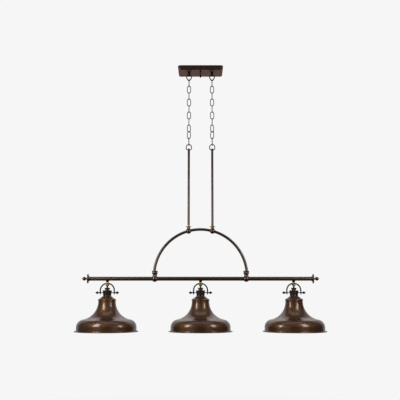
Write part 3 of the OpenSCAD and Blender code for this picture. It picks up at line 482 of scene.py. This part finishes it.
def chainTree():
    tree, size = sizedTree("hangingChain", linkSizes, [
        ("Place", "NodeSocketVector"), ("Metal", "NodeSocketMaterial")])
    pathR = times(tree, minus(tree, size["Width"], size["Wire"]), 0.5)
    inside = plus(tree, size["Inner Length"], size["Wire"])
    leg = minus(tree, times(tree, inside, 0.5), pathR)
    low = times(tree, leg, -1.0)
    gap = times(tree, size["Butt Gap"], 0.5)

    def bendAt(z, start):
        arc = put(tree, "GeometryNodeCurveArc", Resolution=size["Bend Steps"], Radius=pathR,
                  Start_Angle=start, Sweep_Angle=math.pi)
        stood = put(tree, "GeometryNodeTransform", Geometry=arc,
                    Translation=point(tree, z=z), Rotation=(math.pi / 2, 0, 0))
        return put(tree, "GeometryNodeCurveToPoints", {"mode": "EVALUATED"},
                   Curve=stood).outputs[0]

    def sideAt(side, z):
        x = times(tree, pathR, side)
        return put(tree, "GeometryNodePoints", Position=point(tree, x, 0.0, z)).outputs[0]

    def legAt(side, share):
        return sideAt(side, times(tree, leg, share))

    # the wire starts and ends at a butt joint half way up one side
    near, far = 0.3, 0.65
    dots = joined(tree, [
        sideAt(1, gap), legAt(1, near), legAt(1, far), bendAt(leg, 0.0),
        *[legAt(-1, share) for share in (far, near, 0, -near, -far)], bendAt(low, math.pi),
        legAt(1, -far), legAt(1, -near), sideAt(1, times(tree, gap, -1.0))])
    # its ends are drawn in, so that the link is a slight oval
    here = tree.nodes.new("GeometryNodeInputPosition").outputs[0]
    spot = put(tree, "ShaderNodeSeparateXYZ", Vector=here).outputs
    share = calc(tree, "POWER", calc(tree, "DIVIDE", calc(tree, "ABSOLUTE", spot["Z"]),
                                     plus(tree, leg, pathR)), 2.0)
    narrow = minus(tree, 1.0, times(tree, share, size["Oval"]))
    oval = put(tree, "GeometryNodeSetPosition", Geometry=dots,
               Position=point(tree, times(tree, spot["X"], narrow), 0.0, spot["Z"]))
    path = put(tree, "GeometryNodePointsToCurves", Points=oval)
    section = put(tree, "GeometryNodeCurvePrimitiveCircle", Resolution=size["Wire Sides"],
                  Radius=times(tree, size["Wire"], 0.5))
    link = put(tree, "GeometryNodeCurveToMesh", Curve=path,
               Profile_Curve=section, Fill_Caps=True)

    row = put(tree, "GeometryNodeMeshLine", Count=size["Links"],
              Offset=point(tree, z=times(tree, size["Pitch"], -1.0)))
    index = tree.nodes.new("GeometryNodeInputIndex").outputs[0]
    plain = times(tree, calc(tree, "MODULO", index, 2.0), math.pi / 2)
    plain = plus(tree, plain, size["First Turn"])
    step = minus(tree, index, minus(tree, size["Links"], size["Skewed Links"]))
    skewed = times(tree, size["Skew"], minus(tree, 1.0, times(tree, step, 2.0)))
    isSkewed = calc(tree, "GREATER_THAN", step, -0.5)
    isPlain = minus(tree, 1.0, isSkewed)
    yaw = plus(tree, times(tree, plain, isPlain), times(tree, skewed, isSkewed))
    turn = put(tree, "FunctionNodeEulerToRotation", Euler=point(tree, z=yaw))
    hung = put(tree, "GeometryNodeInstanceOnPoints", Points=row,
               Instance=link, Rotation=turn)
    placed = put(tree, "GeometryNodeTransform", Geometry=hung, Translation=size["Place"])
    real = put(tree, "GeometryNodeRealizeInstances", Geometry=placed)
    smooth = put(tree, "GeometryNodeSetShadeSmooth", Geometry=real)
    dressed = put(tree, "GeometryNodeSetMaterial", Geometry=smooth,
                  Material=size["Metal"])
    put(tree, "NodeGroupOutput", Geometry=dressed)
    return tree


hangingChain = chainTree()


def hangChain(name, node, sizes):
    # The middle of the row is put at the middle of the CAD node
    values = {**linkSizes, **sizes}
    centre = middle(node)
    centre.z += values["Pitch"] * (values["Links"] - 1) / 2
    values["Place"] = centre
    values["Metal"] = finish["chainBronze"]
    standIn(grown(name, hangingChain, values), node)


for side in sides:
    hangChain("chainLinks_" + side, "chain_run_" + side, {})
    hangChain("topLink_" + side, "chain_top_link_" + side, endLinkSizes)
    hangChain("endLink_" + side, "chain_end_link_" + side, endLinkSizes)
print("chains hung")


# Turned pieces: an outline of soft corners in mm, spun round its axis

def softened(corners, closed, soft=0.4, most=0.45):
    # A corner is (radius, height), with its own softness as a third number; the bend takes at
    # most this share of the straight stretch on either side
    path = []
    for i, corner in enumerate(corners):
        here = Vector(corner[:2])
        bend = corner[2] if len(corner) > 2 else soft
        if bend == 0 or (not closed and i in (0, len(corners) - 1)):
            path.append(here)
            continue
        before = Vector(corners[i - 1][:2]) - here
        after = Vector(corners[(i + 1) % len(corners)][:2]) - here
        reach = min(bend, before.length * most, after.length * most)
        start = here + before.normalized() * reach
        end = here + after.normalized() * reach
        path += [start.lerp(here, t).lerp(here.lerp(end, t), t) for t in (0, 0.25, 0.5, 0.75, 1)]
    return path


def roundOf(height, radius, start, end, steps=16):
    # Corners along an arc about the axis, between two angles in degrees
    angles = [math.radians(start + (end - start) * i / steps) for i in range(steps + 1)]
    return [(max(radius * math.cos(a), 0.0), height + radius * math.sin(a), 0) for a in angles]


def spin(shell, along, path, closed, place, segments, index):
    # A point on the axis is one pole; every point carries its distance along the outline
    rows, travelled = [], 0.0
    for i, spot in enumerate(path):
        travelled += (spot - path[i - 1]).length if i else 0.0
        count = 1 if spot.x < onAxis else segments
        row = []
        for j in range(count):
            angle = 2 * math.pi * j / segments
            where = Vector((spot.x * math.cos(angle), spot.x * math.sin(angle), spot.y)) * mm
            vert = shell.verts.new(place @ where)
            vert[along] = travelled * mm
            row.append(vert)
        rows.append(row)
    pairs = list(zip(rows, rows[1:])) + ([(rows[-1], rows[0])] if closed else [])
    for first, second in pairs:
        for j in range(segments):
            k = j + 1
            ring = [first[j % len(first)], first[k % len(first)], second[k % len(second)],
                    second[j % len(second)]]
            face = shell.faces.new(list(dict.fromkeys(ring)))
            face.material_index = index


def finished(name, shell, metals, node):
    bmesh.ops.recalc_face_normals(shell, faces=shell.faces)
    mesh = bpy.data.meshes.new(name)
    shell.to_mesh(mesh)
    shell.free()
    for metal in metals:
        mesh.materials.append(finish[metal])
    mesh.shade_smooth()
    mesh.set_sharp_from_angle(angle=sharpFrom)
    standIn(addPiece(name, mesh), node)


def turned(name, node, parts, segments=64):
    # Each part is its corners, whether they close into a ring, its places and its finish
    shell = bmesh.new()
    along = shell.verts.layers.float.new("along")
    metals = list(dict.fromkeys(part[3] for part in parts))
    for corners, closed, places, metal in parts:
        for place in places:
            spin(shell, along, softened(corners, closed), closed, place, segments,
                 metals.index(metal))
    finished(name, shell, metals, node)


def upright(x, z, y=0.0):
    return Matrix.Translation((x, y, z))


def lying(x, z, side):
    # Heights run along X, to the left or to the right
    return Matrix.Translation((x, 0, z)) @ Matrix.Rotation(side * math.pi / 2, 4, "Y")


pendantX = {which: middle("shade_" + which).x for which in pendants}
chainX = [middle("rod_" + side).x for side in sides]
barMiddle = middle("bar").z
allPendants = pendantX.values()

cupSizes = {"top": 25.75, "waist": 22.0, "foot": 29.0, "height": 36.5, "wall": 1.5, "bore": 4.9}


def cupOutline(s):
    top, waist, foot, low, t = s["top"], s["waist"], s["foot"], -s["height"], s["wall"]
    return [(s["bore"], 0, 0), (top - 0.4, 0, 1.3), (top, -3.0, 1.0), (top - 1, -3.9, 0.6),
            (waist, low + 8, 4.0), (waist + 1, low + 5.4, 1.6), (foot - 1.5, low + 2.4, 0.8),
            (foot, low + 1.4, 0.5), (foot, low, 0.3), (foot - t - 1.5, low, 0.3),
            (waist - t + 0.8, low + 5.4, 1.2), (waist - t, low + 8, 3.0), (top - 1 - t, -3.8, 1.0),
            (top - 1 - t, -t, 0.5), (s["bore"], -t, 0)]


capSizes = {"hole": 20.0, "top": 31.5, "edge": 49.0, "cone": 11.5, "edgeHeight": 6.0, "wall": 1.5}


def capOutline(s):
    top, edge, t = s["top"], s["edge"], s["wall"]
    low, foot = -s["cone"], -s["cone"] - s["edgeHeight"]
    return [(s["hole"], 0, 0.3), (top, 0, 0.8), (top + 1, -1.2, 1.0), (edge - 4, low + 1.6, 2.5),
            (edge - 1, low + 0.4, 1.0), (edge, low - 1, 0.8), (edge, foot, 0.35),
            (edge - t, foot, 0.35), (edge - t, low - 1.4, 0.8), (edge - 5, low, 2.0),
            (top, -t - 0.8, 1.0), (s["hole"], -t, 0.3)]


cupFoot, cupTop = [corner.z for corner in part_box("cup_left")]
for which in pendants:
    turned("socketCup_" + which, "cup_" + which, [
        (cupOutline(cupSizes), True, [upright(pendantX[which], cupTop)], "cupBronze")], 72)
    turned("shadeCap_" + which, "cap_" + which, [
        (capOutline(capSizes), True, [upright(pendantX[which], cupFoot)], "shadeBronze")], 96)

# Collars that clamp the cups to the pipes
collarSizes = {"lip": 15.5, "neck": 12.0, "height": 14.8, "bore": 4.9}
lip, neck, high, bore = collarSizes.values()
turned("cupCollars", "cup_collars", [([
    (bore, 0, 0), (neck + 2, 0, 0.3), (neck + 1, 2, 0.8), (neck, 3.5, 1.5), (neck, high - 7.5, 1.5),
    (lip - 0.6, high - 6, 0.6), (lip, high - 5, 0.6), (lip, high - 2.5, 0.8),
    (lip - 2, high - 1, 1.0), (7, high, 1.5), (bore, high, 0)], True,
    [upright(x, cupTop) for x in allPendants], "cupBronze")])

# Brass balls in two parts, with the yoke's eye between them
ballSizes = {"radius": 11.7, "upperCut": 6.9, "lowerCut": -1.3, "bore": 4.9, "foot": 5.6,
             "drop": 0.4}
r, upperCut, lowerCut, bore, foot, drop = ballSizes.values()
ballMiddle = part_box("yoke_ball_bottoms")[0].z + (r + drop) * mm
balls = [upright(x, ballMiddle) for x in allPendants]
upper, lower = [math.degrees(math.asin(cut / r)) for cut in (upperCut, lowerCut)]
turned("ballTops", "yoke_ball_tops", [(
    [(bore, upperCut, 0)] + roundOf(0, r, upper, 65), True, balls, "agedBrass")])
turned("ballBottoms", "yoke_ball_bottoms", [(
    [(bore, lowerCut, 0)] + roundOf(0, r, lower, -46)
    + [(foot, -r - drop, 0.5), (bore, -r - drop, 0)], True, balls, "agedBrass")])

# Thumb screws with turned pointed knobs
screwSizes = {"shaft": 2.1, "start": 20.8, "seat": 43.4, "knob": 7.7, "reach": 64.5}


def screwOutline(s):
    shaft, seat, knob, reach = s["shaft"], s["seat"], s["knob"], s["reach"]
    return [(0, s["start"]), (shaft, s["start"], 0.4), (shaft, seat, 0), (shaft + 1.6, seat, 0.4),
            (shaft + 1.6, seat + 1.4, 0.6), (shaft + 0.4, seat + 2.6, 1.0),
            (knob - 1.6, reach - 13, 1.5), (knob, reach - 11, 1.2), (knob, reach - 9.4, 1.2),
            (knob - 1.4, reach - 7.4, 1.6), (2.6, reach - 3.4, 1.6), (2.4, reach - 1.6, 0.8),
            (1.2, reach - 0.3, 0.6), (0, reach)]


screws = {"left_outer": ("left", -1), "left_inner": ("left", 1), "centre_left": ("centre", -1),
          "centre_right": ("centre", 1), "right_inner": ("right", -1), "right_outer": ("right", 1)}
for key, (which, side) in screws.items():
    spot = lying(pendantX[which], middle("screw_" + key).z, side)
    turned("thumbScrew_" + key, "screw_" + key,
           [(screwOutline(screwSizes), False, [spot], "darkBronze")], 48)

# Canopy knobs, bushing and collars
knobSizes = {"radius": 4.5, "neck": 2.97, "middle": -32.3, "top": -26.3, "stud": 2.1, "deep": -33.0}
r, neck, ball, top, stud, deep = knobSizes.values()
meet = math.degrees(math.acos(neck / r))
for which in ("front", "rear"):
    node = "canopy_knob_" + which
    turned("canopyKnob_" + which, node, [(
        roundOf(ball, r, -90, meet) + [
            (neck, top - 1.2, 0.4), (r, top - 1.2, 0.3), (r, top, 0.3), (stud, top, 0),
            (stud, deep, 0), (0, deep)],
        False, [upright(0, 0, middle(node).y)], "darkBronze")], 40)
bushingSizes = {"bore": 3.5, "shank": 5.5, "flange": 7.5, "low": -28.0, "seat": -26.0,
                "top": -21.0}
bore, shank, wide, low, seat, top = bushingSizes.values()
turned("wireBushing", "wire_bushing", [([
    (bore, low, 0.5), (wide - 1, low, 0.7), (wide, low + 0.8, 0.5), (wide, seat, 0),
    (shank, seat, 0), (shank, top, 0.3), (bore, top, 0.3)], True, [upright(0, 0)],
    "canopyBronze")], 48)
loopCollarSizes = {"bore": 4.9, "wide": 7.5, "waist": 6.3, "neck": 5.4, "seat": -26.0, "low": -33.0}
bore, wide, waist, neck, seat, low = loopCollarSizes.values()
turned("loopCollars", "loop_collars", [([
    (bore, seat, 0), (wide, seat, 0.2), (wide, seat - 1.6, 0.6), (waist, seat - 4.2, 1.5),
    (neck, low, 0.4), (bore, low, 0)], True, [upright(x, 0) for x in chainX], "darkBronze")], 48)

# Arch balls, and over each a bronze neck that carries a thin flange in pale brass; the pale brass
# is partly the flange's own finish and partly a painted highlight of light from above
archBallSizes = {"radius": 15.5, "rodSeat": 7.0}
flangeSizes = {"flange": 16.0, "neck": 10.0, "rod": 6.6, "high": 24.7, "seat": 12.0,
               "sleeve": 14.1}
r = archBallSizes["radius"]
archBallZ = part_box("rod_left")[0].z + (archBallSizes["rodSeat"] - r) * mm
archBalls = [upright(x, archBallZ) for x in chainX]
turned("archBalls", "arch_balls", [(roundOf(0, r, -90, 90, 40), False, archBalls, "ballBronze")])
wide, neck, rod, high, seat, sleeve = flangeSizes.values()
turned("rodFlanges", "rod_flanges", [
    ([(rod, sleeve, 0), (neck, seat, 0.3), (neck - 1, high - 3.4, 1.5),
      (wide - 2.4, high - 0.8, 0.4), (rod, high - 0.5, 0)], True, archBalls, "ballBronze"),
    # the flange disc: pale brass, partly a painted highlight of light falling on its top
    ([(rod, high - 0.5, 0), (wide - 2.4, high - 0.8, 0), (wide, high + 0.4, 0.3),
      (wide, high + 1.6, 0.4), (wide - 2, high + 1.0, 0.8), (rod + 0.9, high, 0.4), (rod, high, 0)],
     True, archBalls, "agedBrass")])

# Collars at the feet of the arch, with two ridges, on balls that slide on the bar
footSizes = {"ridge": 16.5, "waist": 14.7, "neck": 13.0, "top": 43.0, "neckTop": 26.0,
             "socket": 12.5, "play": 0.1}
barBallSizes = {"radius": 17.5, "bar": 11.05}
ridge, waist, neck, top, neckTop, socket, play = footSizes.values()
r, bar = barBallSizes.values()
archFeet = [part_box("bar_balls")[0].x + r * mm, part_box("bar_balls")[1].x - r * mm]
hollow = math.degrees(math.asin(socket / (r + play)))
turned("footCollars", "arch_foot_collars", [([
    (0, top), (ridge - 1, top, 0.6), (ridge, top - 1, 0.6), (ridge, top - 4, 0.7),
    (waist, top - 5.5, 0.7), (waist, neckTop + 6.5, 0.7), (ridge, neckTop + 5, 0.7),
    (ridge, neckTop + 2, 0.7), (ridge - 1.5, neckTop + 1, 0.6), (neck, neckTop, 0.9),
    (neck - 1.5, neckTop - 6.5, 3.0), (neck, socket, 0.4)] + roundOf(0, r + play, hollow, 90),
    False, [upright(x, barMiddle) for x in archFeet], "barBronze")])
cut = math.degrees(math.acos(bar / r))
turned("barBalls", "bar_balls", [(
    roundOf(0, r, -cut, cut, 24), True, [lying(x, barMiddle, 1) for x in archFeet], "ballBronze")])

# End discs and ball finials
discSizes = {"disc": 26.0, "hub": 13.4, "bar": 11.05, "face": 613.0, "thick": 4.5}
disc, hub, bar, face, thick = discSizes.values()
ends = [lying(0, barMiddle, side) for side in (-1, 1)]
outer = face + thick
turned("endDiscs", "bar_end_discs", [([
    (bar, face - 7, 0), (hub - 0.8, face - 7, 0.4), (hub, face - 6.2, 0.5), (hub, face - 4.6, 0.5),
    (hub - 0.8, face - 3.8, 0.5), (hub - 0.8, face - 1.6, 0.8), (hub + 0.8, face, 0.5),
    (disc - 0.8, face, 0.5), (disc, face + 0.8, 0.6), (disc, outer - 0.8, 0.6),
    (disc - 0.8, outer, 0.5), (disc - 6, outer + 0.6, 1.5), (8, outer + 3, 1.5),
    (6, outer + 4.5, 0.4), (3, outer + 4.5, 0), (3, face + 1.1, 0), (bar, face + 1.1, 0)],
    True, ends, "discBronze")], 72)
finialSizes = {"radius": 10.5, "neck": 3.0, "tip": 1.2}
r, neck, tip = finialSizes.values()
foot = outer + 4.5
ballX = foot + neck + r
turned("endFinials", "bar_end_finials", [(
    [(0, foot - 7), (2.9, foot - 7, 0.3), (2.9, foot, 0), (6, foot, 0.4),
     (4.6, foot + neck - 0.6, 1.0)]
    + roundOf(ballX, r, -66, 70, 28)
    + [(3.0, ballX + r - 0.2, 0.5), (1.0, ballX + r + tip, 0.6), (0, ballX + r + tip)],
    False, ends, "ballBronze")])

# Lampholders with a threaded shell and a contact, and the rings that hold the shades
holderSizes = {"radius": 18.0, "height": 63.0, "mouth": 14.2, "shoulder": 12.0, "bore": 4.9,
               "thread": 13.3, "deep": 41.0, "pitch": 3.6, "wave": 0.4, "steps": 88, "sheet": 0.35,
               "floor": 11.0, "contact": 3.4}
ringSizes = {"radius": 28.0, "thick": 5.0, "bore": 18.1}


def shellOutline(s):
    deep, floor, sheet = s["deep"], s["floor"], s["sheet"]
    rises = [1.0 + i * (deep - 3) / s["steps"] for i in range(s["steps"] + 1)]
    wave = [(s["thread"] + s["wave"] * math.sin(2 * math.pi * h / s["pitch"]), h) for h in rises]
    inside = [(x, h, 0) for x, h in reversed(wave)]
    outside = [(x + sheet, h, 0) for x, h in wave]
    return ([(0, deep), (floor, deep, 1.0)] + inside + outside
            + [(floor + 0.3, deep + 0.4, 1.0), (0, deep + 0.4)])


for which in pendants:
    s, spot = holderSizes, [upright(pendantX[which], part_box("lampholder_" + which)[0].z)]
    deep, mouth, tip = s["deep"], s["mouth"], s["contact"]
    turned("porcelainHolder_" + which, "lampholder_" + which, [
        ([(mouth, 0, 0.6), (s["radius"], 0, 0.8), (s["radius"], s["height"] - 6, 1.5),
          (s["shoulder"], s["height"], 1.5), (s["bore"], s["height"], 0.5),
          (s["bore"], deep + 4, 0.3), (mouth, deep + 1, 0.5)], True, spot, "porcelain"),
        (shellOutline(s), False, spot, "zincSteel"),
        ([(0, deep - 2.2), (tip - 0.8, deep - 2.2, 1.2), (tip, deep + 0.2, 0.3),
          (0, deep + 0.2)], False, spot, "agedBrass")], 48)
    r, thick, bore = ringSizes.values()
    turned("shadeRing_" + which, "shade_ring_" + which, [([
        (bore, 0, 0.3), (r, 0, 0.4), (r, 1.5 - thick, 0.8), (r - 1.5, -thick, 0.6),
        (bore, -thick, 0.4)],
        True, [upright(pendantX[which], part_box("shade_ring_" + which)[1].z)], "moulded")], 72)
print("turned pieces made")


# Canopy: one pressed sheet with round corners, a soft lower edge and a turned hem

canopySizes = {"width": 254.0, "depth": 120.0, "height": 26.0, "corner": 14.0, "edge": 6.0,
               "wall": 1.2, "hem": 1.5, "hemHeight": 8.0, "cornerSteps": 10, "edgeSteps": 8}


def canopyRing(shell, along, s, inset, z):
    # A rounded rectangle, drawn in by inset
    r = max(s["corner"] - inset, 0.6)
    x, y = s["width"] / 2 - inset - r, s["depth"] / 2 - inset - r
    ring = []
    for turn, (cx, cy) in enumerate(((x, y), (-x, y), (-x, -y), (x, -y))):
        for i in range(s["cornerSteps"] + 1):
            angle = math.pi / 2 * (turn + i / s["cornerSteps"])
            where = Vector((cx + r * math.cos(angle), cy + r * math.sin(angle), z)) * mm
            vert = shell.verts.new(where)
            vert[along] = (inset - z) * mm
            ring.append(vert)
    return ring


def canopySection(s):
    # (inset, height) down the outside and back up the inside
    def edge(radius, inset, low):
        turns = [math.pi / 2 * i / s["edgeSteps"] for i in range(s["edgeSteps"] + 1)]
        return [(inset + radius * (1 - math.cos(a)), low + radius * (1 - math.sin(a)))
                for a in turns]

    hem, deep, t, low = -s["hem"], -s["hemHeight"], s["wall"], -s["height"]
    outside = [(hem + 0.5, 0), (hem + 0.15, -0.15), (hem, -0.5), (hem, deep + 0.9),
               (hem + 0.2, deep + 0.3), (hem + 0.7, deep), (-0.3, deep - 0.1), (0, deep - 0.4),
               (0, deep - 1.0)]
    outside += edge(s["edge"], 0, low) + [(s["edge"] + 0.6, low)]
    inside = edge(s["edge"] - t, t, low + t) + [(s["edge"] + 0.6, low + t)]
    return outside, list(reversed(inside)) + [(t, -0.4), (t - 0.3, 0)]


def pressedCanopy(s):
    shell = bmesh.new()
    along = shell.verts.layers.float.new("along")
    outside, inside = canopySection(s)
    rows = [canopyRing(shell, along, s, inset, z) for inset, z in outside + inside]
    under, over = rows[len(outside) - 1], rows[len(outside)]
    shell.faces.new(under)
    shell.faces.new(over)
    for first, second in zip(rows, rows[1:] + rows[:1]):
        if first is under:
            continue
        for j in range(len(first)):
            k = (j + 1) % len(first)
            shell.faces.new((first[j], first[k], second[k], second[j]))
    finished("pressedCanopy", shell, ["canopyBronze"], "canopy")


pressedCanopy(canopySizes)


# Yokes: smoothed copies of the CAD ones, with the eye in brass

yokeEye = {"radius": 10.5, "low": -1.4, "high": 7.0}
for which in pendants:
    shell = bmesh.new()
    shell.from_mesh(nodes["yoke_" + which].data)
    bmesh.ops.remove_doubles(shell, verts=shell.verts, dist=mergeReach)
    for face in shell.faces:
        spot = face.calc_center_median() - Vector((pendantX[which], 0, ballMiddle))
        isEye = (math.hypot(spot.x, spot.y) < yokeEye["radius"] * mm
                 and yokeEye["low"] * mm < spot.z < yokeEye["high"] * mm)
        face.material_index = 1 if isEye else 0
    finished("yoke_" + which + "_smooth", shell, ["darkBronze", "agedBrass"], "yoke_" + which)
print("canopy pressed, yokes bent")


# Carried-over CAD nodes get their finishes

cadFinishes = {
    "zincSteel": ["mounting_plate", "canopy_studs", "loop_nuts"],
    "rodBronze": ["rod_left", "rod_right"],
    "barBronze": ["bar", "arch_left", "arch_centre", "arch_right"],
    "threadedPipe": ["stem_pipes"],
}
dressed = {name: key for key, names in cadFinishes.items() for name in names}
for name, node in nodes.items():
    metal = finish[dressed.get(name, "darkBronze")]
    for holder in node.material_slots:
        holder.material = metal
print("CAD nodes dressed:", len(nodes))


# Floor, backdrop, lamps and camera

studio = {                  # metres and watts; how pale runs from 0 to 1
    "pale": 0.922,          # the background as the camera sees it
    "fill": 0.4,            # the world as it lights the object
    "floor": {"z": -3.0, "radius": 14.0, "pale": 0.52, "cloudy": 0.50, "glow": 0.42,
              "nearEnd": 3.0, "farStart": 9.0},
    "aim": (0.0, 0.0, -1.0),
    "lamps": [              # place, size, power
        ("keyLeft", (-1.0, -0.8, -0.78), (0.36, 0.74), 14.5),
        ("keyRight", (1.0, -0.8, -0.78), (0.36, 0.74), 10.5),
        ("topSoft", (0.0, -0.5, 1.6), (3.4, 1.2), 18.0),
        ("backTop", (0.0, 1.8, 0.4), (3.2, 1.6), 14.0),
    ],
    "curtain": {"dark": 0.05, "sides": 0.6, "darkWidth": 1.8, "sideWidth": 4.4, "darkTop": 1.2,
                "paleTop": 3.0},
    "room": {"half": 4.5, "front": -4.3, "low": -3.0, "high": 3.4, "wallBack": 2.5,
             "ceilingBack": 3.0, "matBack": 1.2, "matZ": -2.9},
    "cardHeights": (-0.5, 2.0),
    "cards": {              # how pale at the lower and at the upper card height
        "leftWall": (0.26, 0.32), "rightWall": (0.08, 0.3), "ceiling": (0.26, 0.26),
        "mat": (0.06, 0.06),
    },
}


def seenDirectly(tree):
    # 1 for the camera and for mirror and glass rays, 0 for light on the object
    path = tree.nodes.new("ShaderNodeLightPath").outputs
    both = plus(tree, path["Is Camera Ray"], path["Is Glossy Ray"])
    both = plus(tree, both, path["Is Transmission Ray"])
    return calc(tree, "MINIMUM", both, 1.0)


world = bpy.data.worlds.new("paleRoom")
scene.world = world
world.use_nodes = True
sky = world.node_tree
strength = spread(sky, seenDirectly(sky), 0.0, 1.0, studio["fill"], studio["pale"])
feed(sky, sky.nodes["Background"], {"Color": (1, 1, 1, 1), "Strength": strength})


def paleFloor(s):
    # Near the object it takes a soft shadow; far away it turns into the backdrop
    material, tree = newMaterial("paleFloor", True)
    where = put(tree, "ShaderNodeTexCoord").outputs["Object"]
    away = put(tree, "ShaderNodeVectorMath", {"operation": "LENGTH"}, Vector=where).outputs["Value"]
    cloud = noise(tree, where, 1.5, 4.0)
    pale, cloudy = [(value, value, value, 1) for value in (s["pale"], s["cloudy"])]
    tint = blend(tree, spread(tree, cloud, 0.3, 0.7), pale, cloudy)
    matte = put(tree, "ShaderNodeBsdfDiffuse", Color=tint)
    glow = put(tree, "ShaderNodeEmission", Color=(1, 1, 1, 1),
               Strength=times(tree, seenDirectly(tree), s["glow"]))
    near = feed(tree, put(tree, "ShaderNodeAddShader"), {0: matte, 1: glow})
    far = put(tree, "ShaderNodeEmission", Color=(1, 1, 1, 1),
              Strength=spread(tree, seenDirectly(tree), 0.0, 1.0, studio["fill"], studio["pale"]))
    mixed = put(tree, "ShaderNodeMixShader", Fac=spread(tree, away, s["nearEnd"], s["farStart"]))
    put(tree, "ShaderNodeOutputMaterial", Surface=feed(tree, mixed, {1: near, 2: far}))
    return material


floorMesh = bpy.data.meshes.new("floor")
disc = bmesh.new()
bmesh.ops.create_circle(disc, cap_ends=True, radius=studio["floor"]["radius"], segments=96)
bmesh.ops.translate(disc, verts=disc.verts, vec=(0, 0, studio["floor"]["z"]))
disc.to_mesh(floorMesh)
disc.free()
floorMesh.materials.append(paleFloor(studio["floor"]))
addPiece("floor", floorMesh)


# The room round the camera shows only in the metal: a dark curtain, walls, ceiling and a dark mat

def onlyInMetal(name, corners, strength):
    # strength(tree, spot) gives how pale the card is at a place on it
    material, tree = newMaterial(name, True)
    spot = put(tree, "ShaderNodeSeparateXYZ",
               Vector=put(tree, "ShaderNodeTexCoord").outputs["Object"]).outputs
    glow = put(tree, "ShaderNodeEmission", Color=(1, 1, 1, 1), Strength=strength(tree, spot))
    put(tree, "ShaderNodeOutputMaterial", Surface=glow)
    mesh = bpy.data.meshes.new(name)
    mesh.from_pydata(corners, [], [(0, 1, 2, 3)])
    mesh.materials.append(material)
    card = addPiece(name, mesh)
    card.visible_camera = card.visible_diffuse = card.visible_shadow = False
    card.visible_transmission = card.visible_volume_scatter = False


def curtainStrength(tree, spot):
    # Dark in the middle, pale to the sides and above
    c = studio["curtain"]
    away = calc(tree, "ABSOLUTE", spot["X"])
    aside = spread(tree, away, c["darkWidth"] / 2, c["sideWidth"] / 2)
    above = spread(tree, spot["Z"], c["darkTop"], c["paleTop"])
    return spread(tree, calc(tree, "MAXIMUM", aside, above), 0.0, 1.0, c["dark"], c["sides"])


half, front, low, high, wallBack, ceilingBack, matBack, matZ = studio["room"].values()
corners = {
    "leftWall": [(-half, front, low), (-half, front, high), (-half, wallBack, high),
                 (-half, wallBack, low)],
    "rightWall": [(half, front, low), (half, wallBack, low), (half, wallBack, high),
                  (half, front, high)],
    "ceiling": [(-half, front, high), (half, front, high), (half, ceilingBack, high),
                (-half, ceilingBack, high)],
    "mat": [(-half, front, matZ), (-half, matBack, matZ), (half, matBack, matZ),
            (half, front, matZ)],
}
onlyInMetal("curtain", [(-half, front, low), (half, front, low), (half, front, high),
                        (-half, front, high)], curtainStrength)
for name, (dim, bright) in studio["cards"].items():
    onlyInMetal(name, corners[name], lambda tree, spot: spread(
        tree, spot["Z"], *studio["cardHeights"], dim, bright))

for name, place, size, power in studio["lamps"]:
    lamp = bpy.data.lights.new(name, "AREA")
    lamp.shape = "RECTANGLE"
    lamp.size, lamp.size_y = size
    lamp.energy = power
    holder = bpy.data.objects.new(name, lamp)
    holder.location = place
    aim = Vector(studio["aim"]) - Vector(place)
    holder.rotation_euler = aim.to_track_quat("-Z", "Y").to_euler()
    holder.visible_camera = False
    scene.collection.objects.link(holder)

# place in metres, tilt in degrees, lens and film width in mm
view = {"place": (-0.003, -3.453, -1.330), "tilt": 9.28, "lens": 56.475, "film": 36.0}
camera = bpy.data.cameras.new("camera")
camera.lens, camera.sensor_width = view["lens"], view["film"]
camera.clip_end = 100.0
cameraHolder = bpy.data.objects.new("camera", camera)
cameraHolder.location = view["place"]
cameraHolder.rotation_euler = (math.radians(90 + view["tilt"]), 0, 0)
scene.collection.objects.link(cameraHolder)
scene.camera = cameraHolder
scene.view_settings.view_transform = "Standard"
print("studio ready")
